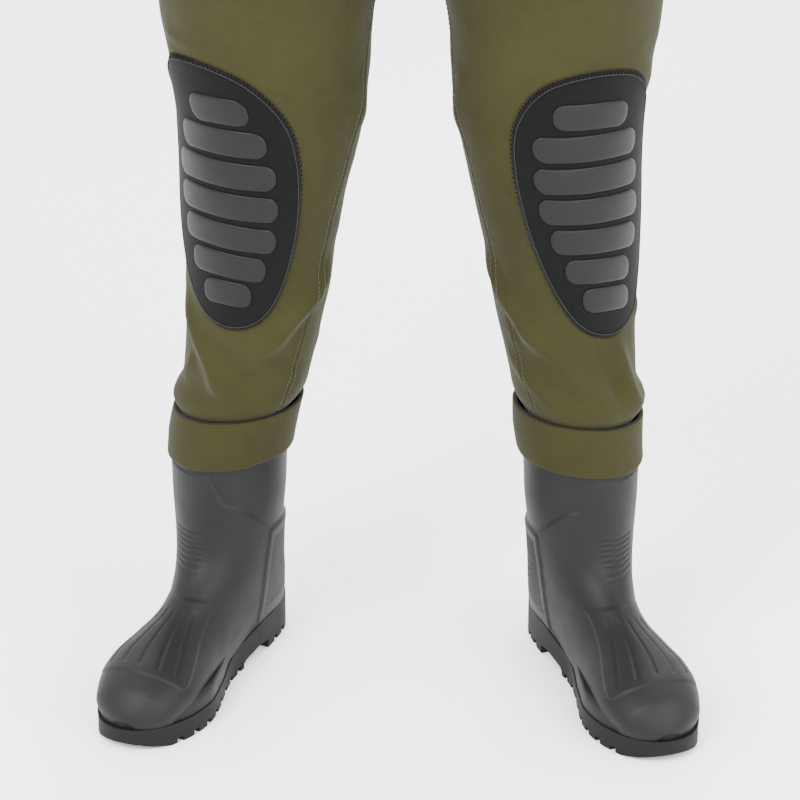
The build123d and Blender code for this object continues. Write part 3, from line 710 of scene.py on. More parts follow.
# ------------------------------------------------------------------ legs and bib
class WADERS_OT_suit(bpy.types.Operator):
    """Makes both halves of the neoprene suit, outside and lining"""

    bl_idname = "waders.suit"
    bl_label = "Suit"

    def execute(self, context):
        fit = context.scene.waders_fit
        for hand in (LEFT, RIGHT):
            side = SIDE_NAME[hand]
            levels = [SHIN_END + fit.row * k for k in range(int((ROWS_TO_RIM_FROM - SHIN_END) / fit.row) + 1)]
            shares = [2 * j / fit.around - 1 for j in range(fit.around + 1)]
            rims = [rim_height(share) for share in shares]
            heights = [[z] * len(shares) for z in levels]
            steps = 30
            for k in range(1, steps + 1):
                heights.append([levels[-1] + (top - levels[-1]) * k / steps for top in rims])
            outer, inner = [], []
            for row in heights:
                angles = [share * reach(z) * 180 / pi for share, z in zip(shares, row)]
                outer.append([cloth(hand, a, z) for a, z in zip(angles, row)])
                inner.append([cloth(hand, a, z, -fit.foam) for a, z in zip(angles, row)])
            piece = grid_piece(
                f"{side}_suit_half", outer + inner[::-1], finish("olive_jersey"), flip=hand == RIGHT
            )
            piece.data.materials.append(finish("black_lining"))
            for face in piece.data.polygons:
                if face.index >= (len(outer) - 1) * fit.around:
                    face.material_index = 1
            weld(piece)
            settle(
                piece, knee=hand,
                stands_for=[f"{side}_{n}" for n in (
                    "front_panel", "back_panel", "knee_front", "knee_back", "shin_front", "shin_back")],
            )
            self.stitching(hand)
        return {"FINISHED"}

    def stitching(self, hand):
        """Two rows of topstitch on the inseam and a zigzag on the side seam."""
        side = SIDE_NAME[hand]
        threads = []
        for offset in (-3.4, 3.4):
            path = []
            for k in range(130):
                z = 274 + 4 * k
                path.append(cloth(hand, through(INSEAM, z)[0] + offset / SEAM_RADIUS * 180 / pi, z, 0.15))
            threads += dashes(path, 3.1, 1.4)
        piece = tubes(f"{side}_inseam_topstitch", threads, 0.42, finish("seam_thread"), 5)
        settle(piece, knee=hand)
        edges = []
        for offset in (-2.6, 2.6):
            turn = offset / 80 * 180 / pi
            path = [cloth(hand, seam_angles(z)[1] + turn, z, 0.1) for z in range(276, 1190, 6)]
            edges.append(spaced(path, 2.4))
        count = min(len(e) for e in edges)
        thread = zigzag(edges[0][:count], edges[1][:count])
        piece = tubes(f"{side}_side_flatlock", [thread], 0.36, finish("seam_thread"), 5)
        settle(piece, knee=hand)


def weld(piece):
    """Joins the edges that meet at the inner leg."""
    shape = bmesh.new()
    shape.from_mesh(piece.data)
    bmesh.ops.remove_doubles(shape, verts=shape.verts, dist=0.0002)
    shape.to_mesh(piece.data)
    shape.free()


class WADERS_OT_knee_pads(bpy.types.Operator):
    """Makes the knee pads, their overlocked edges and their ribs"""

    bl_idname = "waders.knee_pads"
    bl_label = "Knee pads"

    def execute(self, context):
        for hand in (LEFT, RIGHT):
            side = SIDE_NAME[hand]
            _, _, wide, tall, _ = PADS[hand]
            shape = [(u * wide, v * tall) for u, v in PAD_OUTLINE]
            outline = closed_through(shape, 168)
            # share of the outline from the middle out, and how far the cloth stands off the foam there
            rings = [
                (0.015, 3.4), (0.14, 3.4), (0.26, 3.4), (0.38, 3.4), (0.5, 3.4), (0.6, 3.4), (0.7, 3.4),
                (0.79, 3.4), (0.87, 3.4), (0.92, 3.35), (0.95, 3.2), (0.97, 2.9), (0.985, 2.3), (0.995, 1.6),
                (1.0, 0.7), (1.0, -0.6),
            ]
            rows = [[pad_point(hand, u * r, v * r, lift) for u, v in outline] for r, lift in rings]
            piece = grid_piece(
                f"{side}_knee_pad_cloth", rows, finish("pad_cloth"), wrap=True, flip=hand == LEFT
            )
            cap_first(piece, len(outline))
            settle(piece, knee=hand, stands_for=[f"{side}_knee_pad"])

            fine = closed_through(shape, 700)
            inner = [pad_point(hand, u * 0.95, v * 0.975, 3.5) for u, v in fine[::2]]
            outer = [pad_point(hand, u * 1.02, v * 1.012, 0.5) for u, v in fine[1::2]]
            needle = [pad_point(hand, u * 0.952, v * 0.976, 3.5) for u, v in fine[::3]]
            threads = [zigzag(inner, outer), needle]
            piece = tubes(f"{side}_knee_pad_overlock", threads, 0.5, finish("black_thread"), 5, closed=True)
            settle(piece, knee=hand)

            all_points, all_faces = [], []
            for middle_u, middle_v, width, slope in BARS[hand]:
                points, faces = self.rib(hand, middle_u, middle_v, width, slope)
                base = len(all_points)
                all_points += points
                all_faces += [[base + i for i in face] for face in faces]
            piece = mesh_piece(f"{side}_knee_pad_ribs", all_points, all_faces, finish("pad_rib_rubber"))
            merge_and_face_out(piece, 0.00002)
            settle(piece, knee=hand, stands_for=[f"{side}_knee_bars"])
        return {"FINISHED"}

    def rib(self, hand, middle_u, middle_v, width, slope):
        """Points and faces of one rounded rib lying on the pad."""
        wide = PADS[hand][2]
        width, middle_u = width * wide, middle_u * wide
        half_w, half_h, corner = width / 2, BAR_TALL / 2, BAR_TALL * 0.43
        edge = []
        for sx, sy, start in ((1, 1, 0), (-1, 1, 90), (-1, -1, 180), (1, -1, 270)):
            for k in range(9):
                turn = radians(start + 90 * k / 8)
                x = sx * (half_w - corner) + corner * cos(turn)
                edge.append((x, sy * (half_h - corner) + corner * sin(turn)))
        rim = []
        for (x0, y0), (x1, y1) in zip(edge, edge[1:] + edge[:1]):
            pieces = max(1, int(hypot(x1 - x0, y1 - y0) / 3.2))
            rim += [(x0 + (x1 - x0) * k / pieces, y0 + (y1 - y0) * k / pieces) for k in range(pieces)]
        # how far in from the rib's edge, and how high above the foam
        insets = [
            (0, 2.9), (-0.2, 3.5), (0, 4.1), (0.4, 4.5), (1.1, 4.8),
            (2.4, 4.95), (5, 5.05), (9, 5.1), (half_h, 5.1),
        ]
        points, faces = [], []
        for inset, lift in insets:
            for x, y in rim:
                s, t = x * (half_w - inset) / half_w, y * (half_h - inset) / half_h
                outward = max(0.0, s / half_w)
                u = middle_u + s * cos(radians(slope)) - t * sin(radians(slope))
                v = middle_v + s * sin(radians(slope)) + t * cos(radians(slope)) - 3.0 * outward ** 2
                points.append(pad_point(hand, u, v, lift))
        count = len(rim)
        for r in range(len(insets) - 1):
            here, above = r * count, (r + 1) * count
            for c in range(count):
                following = (c + 1) % count
                faces.append([here + c, here + following, above + following, above + c])
        return points, faces


def cap_first(piece, count):
    """Closes the small hole in the middle of a round patch."""
    shape = bmesh.new()
    shape.from_mesh(piece.data)
    shape.verts.ensure_lookup_table()
    shape.faces.new([shape.verts[i] for i in range(count)])
    bmesh.ops.recalc_face_normals(shape, faces=shape.faces)
    for face in shape.faces:
        face.smooth = True
    shape.to_mesh(piece.data)
    shape.free()


# ------------------------------------------------------------------ cuffs and boots
class WADERS_OT_cuffs(bpy.types.Operator):
    """Makes the turned-up cuffs over the boot tops"""

    bl_idname = "waders.cuffs"
    bl_label = "Cuffs"

    def execute(self, context):
        wall = context.scene.waders_fit.cuff_wall
        # place across the wall (0 inside, 1 outside), share of the height
        profile = [
            (0.0, 0.03), (0.0, 0.25), (0.0, 0.5), (0.0, 0.75), (0.0, 0.97), (0.12, 0.995), (0.3, 1.0),
            (0.66, 1.0), (0.86, 0.995), (1.0, 0.975), (1.02, 0.9), (1.0, 0.75), (1.02, 0.5),
            (1.0, 0.25), (1.04, 0.12),
            (1.06, 0.05), (0.95, 0.01), (0.7, -0.004), (0.35, -0.004), (0.1, 0.005),
        ]
        for hand in (LEFT, RIGHT):
            side = SIDE_NAME[hand]
            rows = []
            for k in range(200):
                turn = 2 * pi * k / 200
                uneven_low = 1.5 * noise.noise(Vector((cos(turn) * 1.5 + 4 * hand, sin(turn) * 1.5, 2.0)))
                uneven_high = 1.2 * noise.noise(Vector((cos(turn) * 1.7, sin(turn) * 1.7, 9.0 + hand)))
                flare = 1.3 * noise.noise(Vector((cos(turn) * 1.3, 7.0 * hand, sin(turn) * 1.3)))
                rows.append([
                    self.place(hand, turn, across * wall, t, uneven_low, uneven_high, flare)
                    for across, t in profile
                ])
            piece = grid_piece(
                f"{side}_turned_cuff", rows, finish("cuff_jersey"), wrap=True, ring=True, flip=hand == LEFT
            )
            for material in ("black_lining", "foam_core"):
                piece.data.materials.append(finish(material))
            for face in piece.data.polygons:
                column = face.index % len(profile)
                face.material_index = 1 if column < 4 or column == 19 else 2 if column in (5, 6, 7) else 0
            merge_and_face_out(piece, 0.00001)
            settle(piece, f"{side}_shank", [f"{side}_cuff"])
        return {"FINISHED"}

    def place(self, hand, turn, off, t, low, high, flare):
        """A point of the cuff: turn round it, mm outside its inner face, share of its height."""
        a, b = CUFF_LEVELS
        share = min(max(t, 0), 1)
        half_w = a[3] + (b[3] - a[3]) * share + off + flare * (1 - share) * 0.6
        half_d = a[4] + (b[4] - a[4]) * share + off + flare * (1 - share) * 0.6
        # the band swells a little between its edges
        swell = 0.7 * sin(pi * share)
        x, y = (half_w + swell) * cos(turn), (half_d + swell) * sin(turn)
        c, s = cos(radians(BOOT_TURN)), sin(radians(BOOT_TURN))
        x, y = x * c - y * s, x * s + y * c
        lean = radians(CUFF_LEAN)
        height = a[0] + (b[0] - a[0]) * t - x * sin(lean) + low * (1 - share) + high * share
        sideways = hand * (a[1] + (b[1] - a[1]) * share + x * cos(lean)) + stance(a[0] + 48 * share)
        return Vector((sideways, BODY_Y + a[2] + (b[2] - a[2]) * share + y, height))


@lru_cache(maxsize=None)
def boot_section(s):
    """The boot's section at place s along its list, smoothly between the given ones."""
    return tuple(through(BOOT_ROWS, s))


def boot_surface(s, phi, off):
    """A point on the boot before it is turned: forward, outward, up; phi 0 is front or top, 90 outer side."""
    top_f, top_z, low_f, low_z, half_w, shift, square = boot_section(s)
    span = hypot(top_f - low_f, top_z - low_z)
    c, n = cos(radians(phi)), sin(radians(phi))
    power = 1.0 + (square - 1.0) * ease(-c / 0.3)
    across = shift + (half_w + off) * (1 if n >= 0 else -1) * abs(n) ** power
    along = (span / 2 + off) * c
    forward = (top_f + low_f) / 2 + along * (top_f - low_f) / span
    return forward, across, (top_z + low_z) / 2 + along * (top_z - low_z) / span


def boot_place(hand, forward, outward, up):
    """From the foot's own directions to the room's."""
    c, s = cos(radians(BOOT_TURN)), sin(radians(BOOT_TURN))
    return Vector((hand * (BOOT_X + outward * c + forward * s), BODY_Y + outward * s - forward * c, up))


def sole_top(forward):
    """Height of the outsole's top surface."""
    return 36.0 - 15.0 * min(max(forward / 95.0, 0.0), 1.0)


def ramp(x, low, high):
    """0 below low, 1 above high, smooth between."""
    return ease((x - low) / (high - low))


def boot_relief(s, phi, up, forward, outward):
    """Moulded detail of the boot: overlay, flex ribs, vamp lines, heel counter."""
    made = 0.2 * noise.noise(Vector((forward, outward, up)) / 22)
    # overlay: stands out below an edge that is high on the front and drops on the way back
    edge = 211 - 30 * ramp(-phi, 4, 26) - 36 * ramp(-phi, 26, 90) - 60 * ramp(phi, 62, 96)
    made += 1.3 * (1 - ramp(up, edge - 1.0, edge + 1.0)) * (1 - ramp(s, 7.0, 9.0))
    # flex ribs across the instep, toward the outer side
    if 110 < up < 160:
        fan = ramp(phi, -8, 4) * (1 - ramp(phi, 34, 46))
        ribs = (0.5 + 0.5 * cos(2 * pi * (up - 114) / 5.2)) ** 2
        made -= 1.3 * fan * ribs * ramp(up, 112, 116) * (1 - ramp(up, 152, 156))
    # vamp panel with lines fanning out to the toe
    if s > 7.4 and up > 20:
        reach_out = 28 + 22 * ramp(s, 8.0, 12.0)
        side_edge = 1 - ramp(abs(phi), reach_out + 12, reach_out + 15)
        panel = ramp(s, 7.7, 8.0) * side_edge * (1 - ramp(s, 12.05, 12.2))
        made += 1.0 * panel
        for k in range(-2, 3):
            line = k * reach_out * 0.44
            groove = exp(-((phi - line) / 1.8) ** 2)
            made -= 1.3 * panel * groove * ramp(s, 8.3, 8.8) * (1 - ramp(s, 11.6, 11.8))
    height = up - sole_top(forward)
    # heel counter: a raised cup with hatching behind its upright edge
    if forward < 16 and up < 150:
        cup = ramp(13 - forward, 0, 1.8) * (1 - ramp(up, 142, 145))
        made += 1.6 * cup
        hatch = 0.5 + 0.5 * cos(2 * pi * (forward * 0.8 + up) / 5.4)
        made -= 0.9 * cup * hatch * ramp(6 - forward, 0, 2) * (1 - ramp(up, 132, 136)) * ramp(height, 15, 18)
    return made


class WADERS_OT_boots(bpy.types.Operator):
    """Makes the moulded boot uppers, insoles, welts and sole materials"""

    bl_idname = "waders.boots"
    bl_label = "Boots"

    def execute(self, context):
        for hand in (LEFT, RIGHT):
            side = SIDE_NAME[hand]
            first, step = 0.25, 0.045
            places = [first + step * k for k in range(int((len(BOOT_ROWS) - 1 - first) / step) + 1)]
            around = 240
            turns = [-180 + 360 * j / around for j in range(around)]
            outer = [[self.outside(hand, s, phi) for phi in turns] for s in places]
            inner = [[self.inside(hand, s, phi) for phi in turns] for s in places[::2]]
            piece = grid_piece(
                f"{side}_boot_shell", inner[::-1] + outer, finish("boot_pvc"),
                wrap=True, flip=hand == RIGHT, caps=True,
            )
            settle(piece, f"{side}_shank", [f"{side}_boot_upper"])

            bed = closed_through([(f - HEEL_BACK, -o) for f, o in SOLE_OUTLINE], 120)
            rows = []
            for share, lift in ((0.02, 4.6), (0.5, 4.4), (0.84, 4.2), (0.88, 4.0), (0.885, 0.6)):
                rows.append([
                    boot_place(
                        hand, 70 + (f - 70) * share * 0.97, o * share, sole_top(70 + (f - 70) * share) + lift
                    )
                    for f, o in bed
                ])
            piece = grid_piece(f"{side}_insole_bed", rows, finish("insole_cloth"), wrap=True, caps=True)
            merge_and_face_out(piece, 0.00001)
            settle(piece, f"{side}_shank", [f"{side}_insole"])

            plan = closed_through([(f - HEEL_BACK, -o) for f, o in SOLE_OUTLINE], 240)
            # share of the sole's outline and height above its top, up the foxing band
            steps = [
                (0.955, -0.6), (0.985, -0.4), (0.99, 0.8), (0.988, 5), (0.984, 9),
                (0.974, 12), (0.957, 14), (0.93, 15), (0.86, 15.2), (0.7, 14),
            ]
            rows = [[self.foxing(hand, f, o, share, lift) for f, o in plan] for share, lift in steps]
            piece = grid_piece(f"{side}_foxing_band", rows, finish("boot_pvc"), wrap=True, flip=hand == LEFT)
            settle(piece, f"{side}_shank")
            welt = [boot_place(hand, 72 + (f - 72) * 0.993, o * 0.993, sole_top(f) - 0.9) for f, o in plan]
            piece = tubes(f"{side}_welt_bead", [welt], 1.3, finish("sole_rubber"), 8, closed=True)
            settle(piece, f"{side}_shank")
            dress(f"{side}_outsole", "sole_rubber")
        return {"FINISHED"}

    def foxing(self, hand, forward, outward, share, lift):
        """A point of the band moulded round the upper just above the sole, higher at the toe."""
        toe = ramp(forward, 130, 215)
        up = sole_top(forward) + lift * (1 + 0.25 * toe)
        return boot_place(hand, 72 + (forward - 72) * (share - 0.012 * toe), outward * share, up)

    def outside(self, hand, s, phi):
        """A point of the boot's outer face, with its moulded detail."""
        forward, outward, up = boot_surface(s, phi, 0.0)
        off = boot_relief(s, phi, up, forward, outward)
        forward, outward, up = boot_surface(s, phi, off)
        return boot_place(hand, forward, outward, max(up, sole_top(forward) - 0.6))

    def inside(self, hand, s, phi):
        """A point of the boot's lining."""
        forward, outward, up = boot_surface(s, phi, -3.2)
        return boot_place(hand, forward, outward, max(up, sole_top(forward) + 0.3))


def dress(node, material):
    """Gives a kept CAD piece a finer material."""
    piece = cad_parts[node]
    if not piece.material_slots:
        piece.data.materials.append(None)
    for place in piece.material_slots:
        place.link = "OBJECT"
        place.material = finish(material)


# ------------------------------------------------------------------ webbing
def ribbon(name, path, across, width, thick, material):
    """Flat webbing of real thickness along a path in mm; across gives its width direction at each point."""
    shares = [-1, -0.985, -0.9, -0.45, 0, 0.45, 0.9, 0.985, 1]
    upper = [(x, 0.0 if abs(x) == 1 else 0.75 if abs(x) > 0.95 else 1.0) for x in shares]
    profile = upper + [(x, -y) for x, y in upper[-2:0:-1]]
    path = [Vector(p) for p in path]
    rows, uvs, run = [], [], 0.0
    for i, p in enumerate(path):
        along = (path[min(i + 1, len(path) - 1)] - path[max(i - 1, 0)]).normalized()
        side = Vector(across[i] if isinstance(across, list) else across).normalized()
        face = along.cross(side).normalized()
        run += (p - path[i - 1]).length if i else 0.0
        rows.append([p + side * (x * width / 2) + face * (y * thick / 2) for x, y in profile])
        uvs.append([((x * width + (thick if y < 0 else 0)) * MM, run * MM) for x, y in profile])
    piece = grid_piece(name, rows, material, wrap=True, uvs=uvs, caps=True)
    merge_and_face_out(piece, 0.000001)
    return piece


def wrapped_patch(name, place, across, upright, inner, outer, material, edge=1.2):
    """A layer lying on the bib: place(x, z, off) in mm, rounded at its rim."""
    rows = []
    steps_x = [across[0] + (across[1] - across[0]) * k / 40 for k in range(41)]
    steps_z = [upright[0] + (upright[1] - upright[0]) * k / 14 for k in range(15)]
    for z in [steps_z[0]] + steps_z + [steps_z[-1]]:
        row = []
        for x in [steps_x[0]] + steps_x + [steps_x[-1]]:
            rim = min(x - across[0], across[1] - x, z - upright[0], upright[1] - z)
            row.append(place(x, z, inner + (outer - inner) * ease((rim + 0.3) / edge)))
        rows.append(row)
    for row, z in ((rows[0], upright[0]), (rows[-1], upright[1])):
        row[:] = [place(x, z, inner) for x in [steps_x[0]] + steps_x + [steps_x[-1]]]
    for row, z in zip(rows, [steps_z[0]] + steps_z + [steps_z[-1]]):
        row[0], row[-1] = place(across[0], z, inner), place(across[1], z, inner)
    return grid_piece(name, rows, material)


class WADERS_OT_bib(bpy.types.Operator):
    """Makes the binding round the bib's top edge and the patch between the braces"""

    bl_idname = "waders.bib"
    bl_label = "Bib edge"

    def execute(self, context):
        edge = []
        for hand, shares in ((LEFT, range(0, 121)), (RIGHT, range(119, 0, -1))):
            for k in shares:
                share = k / 60 - 1
                z = rim_height(share)
                a = share * reach(z) * 180 / pi
                edge.append((hand, a, z))
        profile = [
            (0.5, -12), (1.8, -11.7), (2.0, -8), (2.0, -2), (1.6, 0.6), (0.4, 1.9), (-1.6, 2.3), (-3.6, 2.1),
            (-5.4, 1.2), (-6.3, -1), (-6.4, -8), (-6.2, -11.7), (-4.7, -12),
        ]
        rows, count = [], len(edge)
        for i, (hand, a, z) in enumerate(edge):
            here = cloth(hand, a, z)
            before, after = cloth(*edge[i - 1]), cloth(*edge[(i + 1) % count])
            along = (after - before).normalized()
            outward = (cloth(hand, a, z, 1.0) - here).normalized()
            down = along.cross(outward).normalized()
            if down.z > 0:
                down = -down
            rows.append([here + outward * off - down * rise for off, rise in profile])
        piece = grid_piece("bib_edge_binding", rows, finish("black_webbing"), ring=True, flip=True,
                           uvs=[[(i * 0.0045, off * MM) for off, _ in profile] for i in range(count)])
        merge_and_face_out(piece, 0.000001)
        settle(piece, stands_for=["top_binding"])
        stitch = [row[2] + (row[2] - row[10]).normalized() * 0.2 for row in rows]
        threads = dashes(stitch + stitch[:1], *STITCH)
        piece = tubes("bib_edge_stitching", threads, 0.4, finish("black_thread"), 5)
        settle(piece)

        def on_back(x, z, off):
            hand = LEFT if x >= 0 else RIGHT
            half = section(z)[2]
            return cloth(hand, acos(max(-1, min(1, abs(x) / half))) * 180 / pi, z, off)

        piece = wrapped_patch(
            "back_yoke_patch", on_back, (-74, 74), (1178, 1227), 0.3, 2.0, finish("pad_cloth")
        )
        settle(piece, stands_for=["back_yoke"])
        lines = [
            [on_back(x, z, 2.1) for x in range(-70, 71, 4)] for z in (1182, 1223)
        ] + [[on_back(x, z, 2.1) for z in range(1182, 1224, 4)] for x in (-70, 70)]
        threads = [dash for line in lines for dash in dashes(line, *STITCH)]
        settle(tubes("back_yoke_stitching", threads, 0.4, finish("seam_thread"), 5))
        return {"FINISHED"}


class WADERS_OT_braces(bpy.types.Operator):
    """Makes the braces, their front leads and sewn anchors, and finishes the buckles"""

    bl_idname = "waders.braces"
    bl_label = "Braces"

    def execute(self, context):
        line = rounded_path(
            [(0, PRONG_BAR_Z + 16), (0, 1446), (42, 1510), (STRAP_RUN, 1510), (STRAP_RUN, 1302)], [60, 65, 76]
        )
        line = [(p.x, p.y) for p in spaced([(s, z, 0) for s, z in line], 4.0)]
        front = [(s, z) for s, z in line if s < 60 and z < LEAD_TOP_Z]
        rest = [(s, z) for s, z in line if not (s < 60 and z < LEAD_TOP_Z)]
        prong_loop = [(3.0, PRONG_BAR_Z + 26), (3.3, PRONG_BAR_Z + 8)] + self.loop(PRONG_BAR_Z, 0, -180)
        lead = prong_loop + [(-2.0, PRONG_BAR_Z + 8)] + front
        anchor = (
            [(3.3, 1247), (2.9, 1256), (1.6, 1276), (0.2, 1300), (-0.9, 1322), (-2.6, 1334)]
            + self.loop(SOCKET_BAR_Z, 180, 0) + [(2.7, 1333), (1.6, 1322), (2.6, 1304)]
        )
        for hand in (LEFT, RIGHT):
            side = SIDE_NAME[hand]
            across = Vector((hand * cos(STRAP_TURN), sin(STRAP_TURN), 0))
            webbing = finish("black_webbing")
            piece = ribbon(
                f"{side}_brace_lead", self.stand(hand, lead), across, WEB_WIDE, WEB_THICK, webbing
            )
            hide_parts(f"{side}_strap_lead")
            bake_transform(piece)
            piece = ribbon(
                f"{side}_brace_anchor", self.stand(hand, anchor), across, WEB_WIDE, WEB_THICK, webbing
            )
            settle(piece, stands_for=[f"{side}_strap_anchor"])
            path = self.stand(hand, rest)
            directions = [across] * len(path)
            # down the back: height, turn in degrees, how far in toward the body
            steps = (
                (1300, STRAP_TURN * 180 / pi, 0.0), (1263, 2.0, 0.0), (1227, -5.0, 1.6), (1190, -7.0, 3.0),
            )
            rows = [(-z, lie, inward) for z, lie, inward in steps]
            for z in range(1298, 1188, -4):
                lie, inward = through(rows, -z)
                path.append(Vector((hand * STRAP_BACK[0], STRAP_BACK[1] - inward, z)))
                directions.append(Vector((hand * cos(radians(lie)), sin(radians(lie)), 0)))
            piece = ribbon(f"{side}_brace", path, directions, WEB_WIDE, WEB_THICK, webbing)
            settle(piece, stands_for=[f"{side}_strap"])
            self.tacks(hand, across)
            for node in ("buckle_socket", "buckle_prong", "strap_slider"):
                dress(f"{side}_{node}", "black_buckle_plastic")
        return {"FINISHED"}

    def loop(self, bar_z, start, end):
        """Half a turn round a bar."""
        turns = [radians(start + (end - start) * k / 10) for k in range(11)]
        return [(ROUND_BAR * cos(t), bar_z + ROUND_BAR * sin(t)) for t in turns]

    def stand(self, hand, line):
        """Points of the brace's own upright plane in the room."""
        return [
            Vector((hand * (STRAP_FRONT[0] - s * sin(STRAP_TURN)), STRAP_FRONT[1] + s * cos(STRAP_TURN), z))
            for s, z in line
        ]

    def tacks(self, hand, across):
        """Box-and-cross stitching where the anchor is sewn down and at the brace's lower back end."""
        side = SIDE_NAME[hand]
        low = self.stand(hand, [(1.0, 1262), (-0.9, 1292)])
        x, y = hand * STRAP_BACK[0], STRAP_BACK[1]
        back = [Vector((x, y - 1.6, 1222)), Vector((x, y - 3.0, 1194))]
        wide = Vector((hand * cos(radians(-6)), sin(radians(-6)), 0))
        threads = []
        ends = (
            (low, across, -across.cross(Vector((0, 0, hand)))),
            (back, wide, wide.cross(Vector((0, 0, -hand)))),
        )
        for (a, b), w, out in ends:
            out = out.normalized() * (1.35 if out.y * (a.y - BODY_Y) > 0 else -1.35)
            corners = [a + w * 14 + out, a - w * 14 + out, b - w * 14 + out, b + w * 14 + out]
            loop = corners + corners[:1] + [corners[2]]
            threads += dashes(loop, 2.6, 1.2) + dashes([corners[1], corners[3]], 2.6, 1.2)
        settle(tubes(f"{side}_brace_tacks", threads, 0.42, finish("seam_thread"), 5))


class WADERS_OT_belt(bpy.types.Operator):
    """Makes the belt, its tail, its loops, and finishes its buckle"""

    bl_idname = "waders.belt"
    bl_label = "Belt"

    def execute(self, context):
        half = section(BELT_Z)[2]
        path, directions = [], []
        for hand, start, end in ((LEFT, -degrees_in(95, half), 90), (RIGHT, 90, -degrees_in(54, half))):
            for k in range(61):
                a = start + (end - start) * k / 60
                if hand == RIGHT and k == 0:
                    continue
                path.append(cloth(hand, a, BELT_Z, BELT_OFF))
                directions.append(cloth(hand, a, BELT_Z + 19, 2.1) - cloth(hand, a, BELT_Z - 19, 2.1))
        bar = -27.3
        path += [Vector((x, BELT_BUCKLE_Y + y, BELT_Z)) for x, y in self.end(bar, -1)]
        directions += [Vector((0, 0, 1))] * (len(path) - len(directions))
        piece = ribbon("belt_strap", path, directions, WEB_WIDE, BELT_THICK, finish("black_webbing"))
        settle(piece, stands_for=["belt_webbing"])

        tail, directions = [], []
        for k in range(13):
            a = -degrees_in(95 - 41 * k / 12, half)
            tail.append(cloth(LEFT, a, BELT_Z, BELT_OFF))
            directions.append(cloth(LEFT, a, BELT_Z + 19, 2.1) - cloth(LEFT, a, BELT_Z - 19, 2.1))
        tail += [Vector((x, BELT_BUCKLE_Y + y, BELT_Z)) for x, y in self.end(25.9, 1)]
        directions += [Vector((0, 0, 1))] * (len(tail) - len(directions))
        piece = ribbon("belt_tail_strap", tail, directions, WEB_WIDE, BELT_THICK, finish("black_webbing"))
        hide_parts("belt_tail")
        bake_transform(piece)
        for hand in (LEFT, RIGHT):
            for place, x, sign in (("front", 125, -1), ("back", 101, 1)):
                a = sign * degrees_in(x, half)
                # height, how far the loop stands off the foam
                rows = [
                    (1046, 1.3), (1052, 1.4), (1058, 3.2), (1063, 4.5),
                    (1097, 4.5), (1102, 3.2), (1108, 1.4), (1114, 1.3),
                ]
                levels = [1046 + 2 * k for k in range(35)]
                path = [cloth(hand, a, z, through(rows, z)[0]) for z in levels]
                side = cloth(hand, a + 2, BELT_Z) - cloth(hand, a - 2, BELT_Z)
                name = f"{SIDE_NAME[hand]}_{place}_belt_loop"
                piece = ribbon(name, path, side, LOOP_WIDE, LOOP_THICK, finish("black_webbing"))
                settle(piece, stands_for=["belt_loops"])
        for node in ("belt_buckle_socket", "belt_buckle_prong"):
            dress(node, "black_buckle_plastic")
        return {"FINISHED"}

    def end(self, bar, way):
        """The belt's end: off the body, round the buckle's bar and back behind itself."""
        turns = [radians(-90 - way * 180 * k / 10) for k in range(11)]
        round_bar = [(bar + ROUND_BAR * cos(t), ROUND_BAR * sin(t)) for t in turns]
        coming_in = [(bar + way * 18, 1.4), (bar + way * 12, -0.6), (bar + way * 6, -2.8)]
        return coming_in + round_bar + [(bar + way * 5, 3.0)]


def degrees_in(x, half):
    """The angle from the side at which the torso's section stands x mm from the middle."""
    return acos(x / half) * 180 / pi


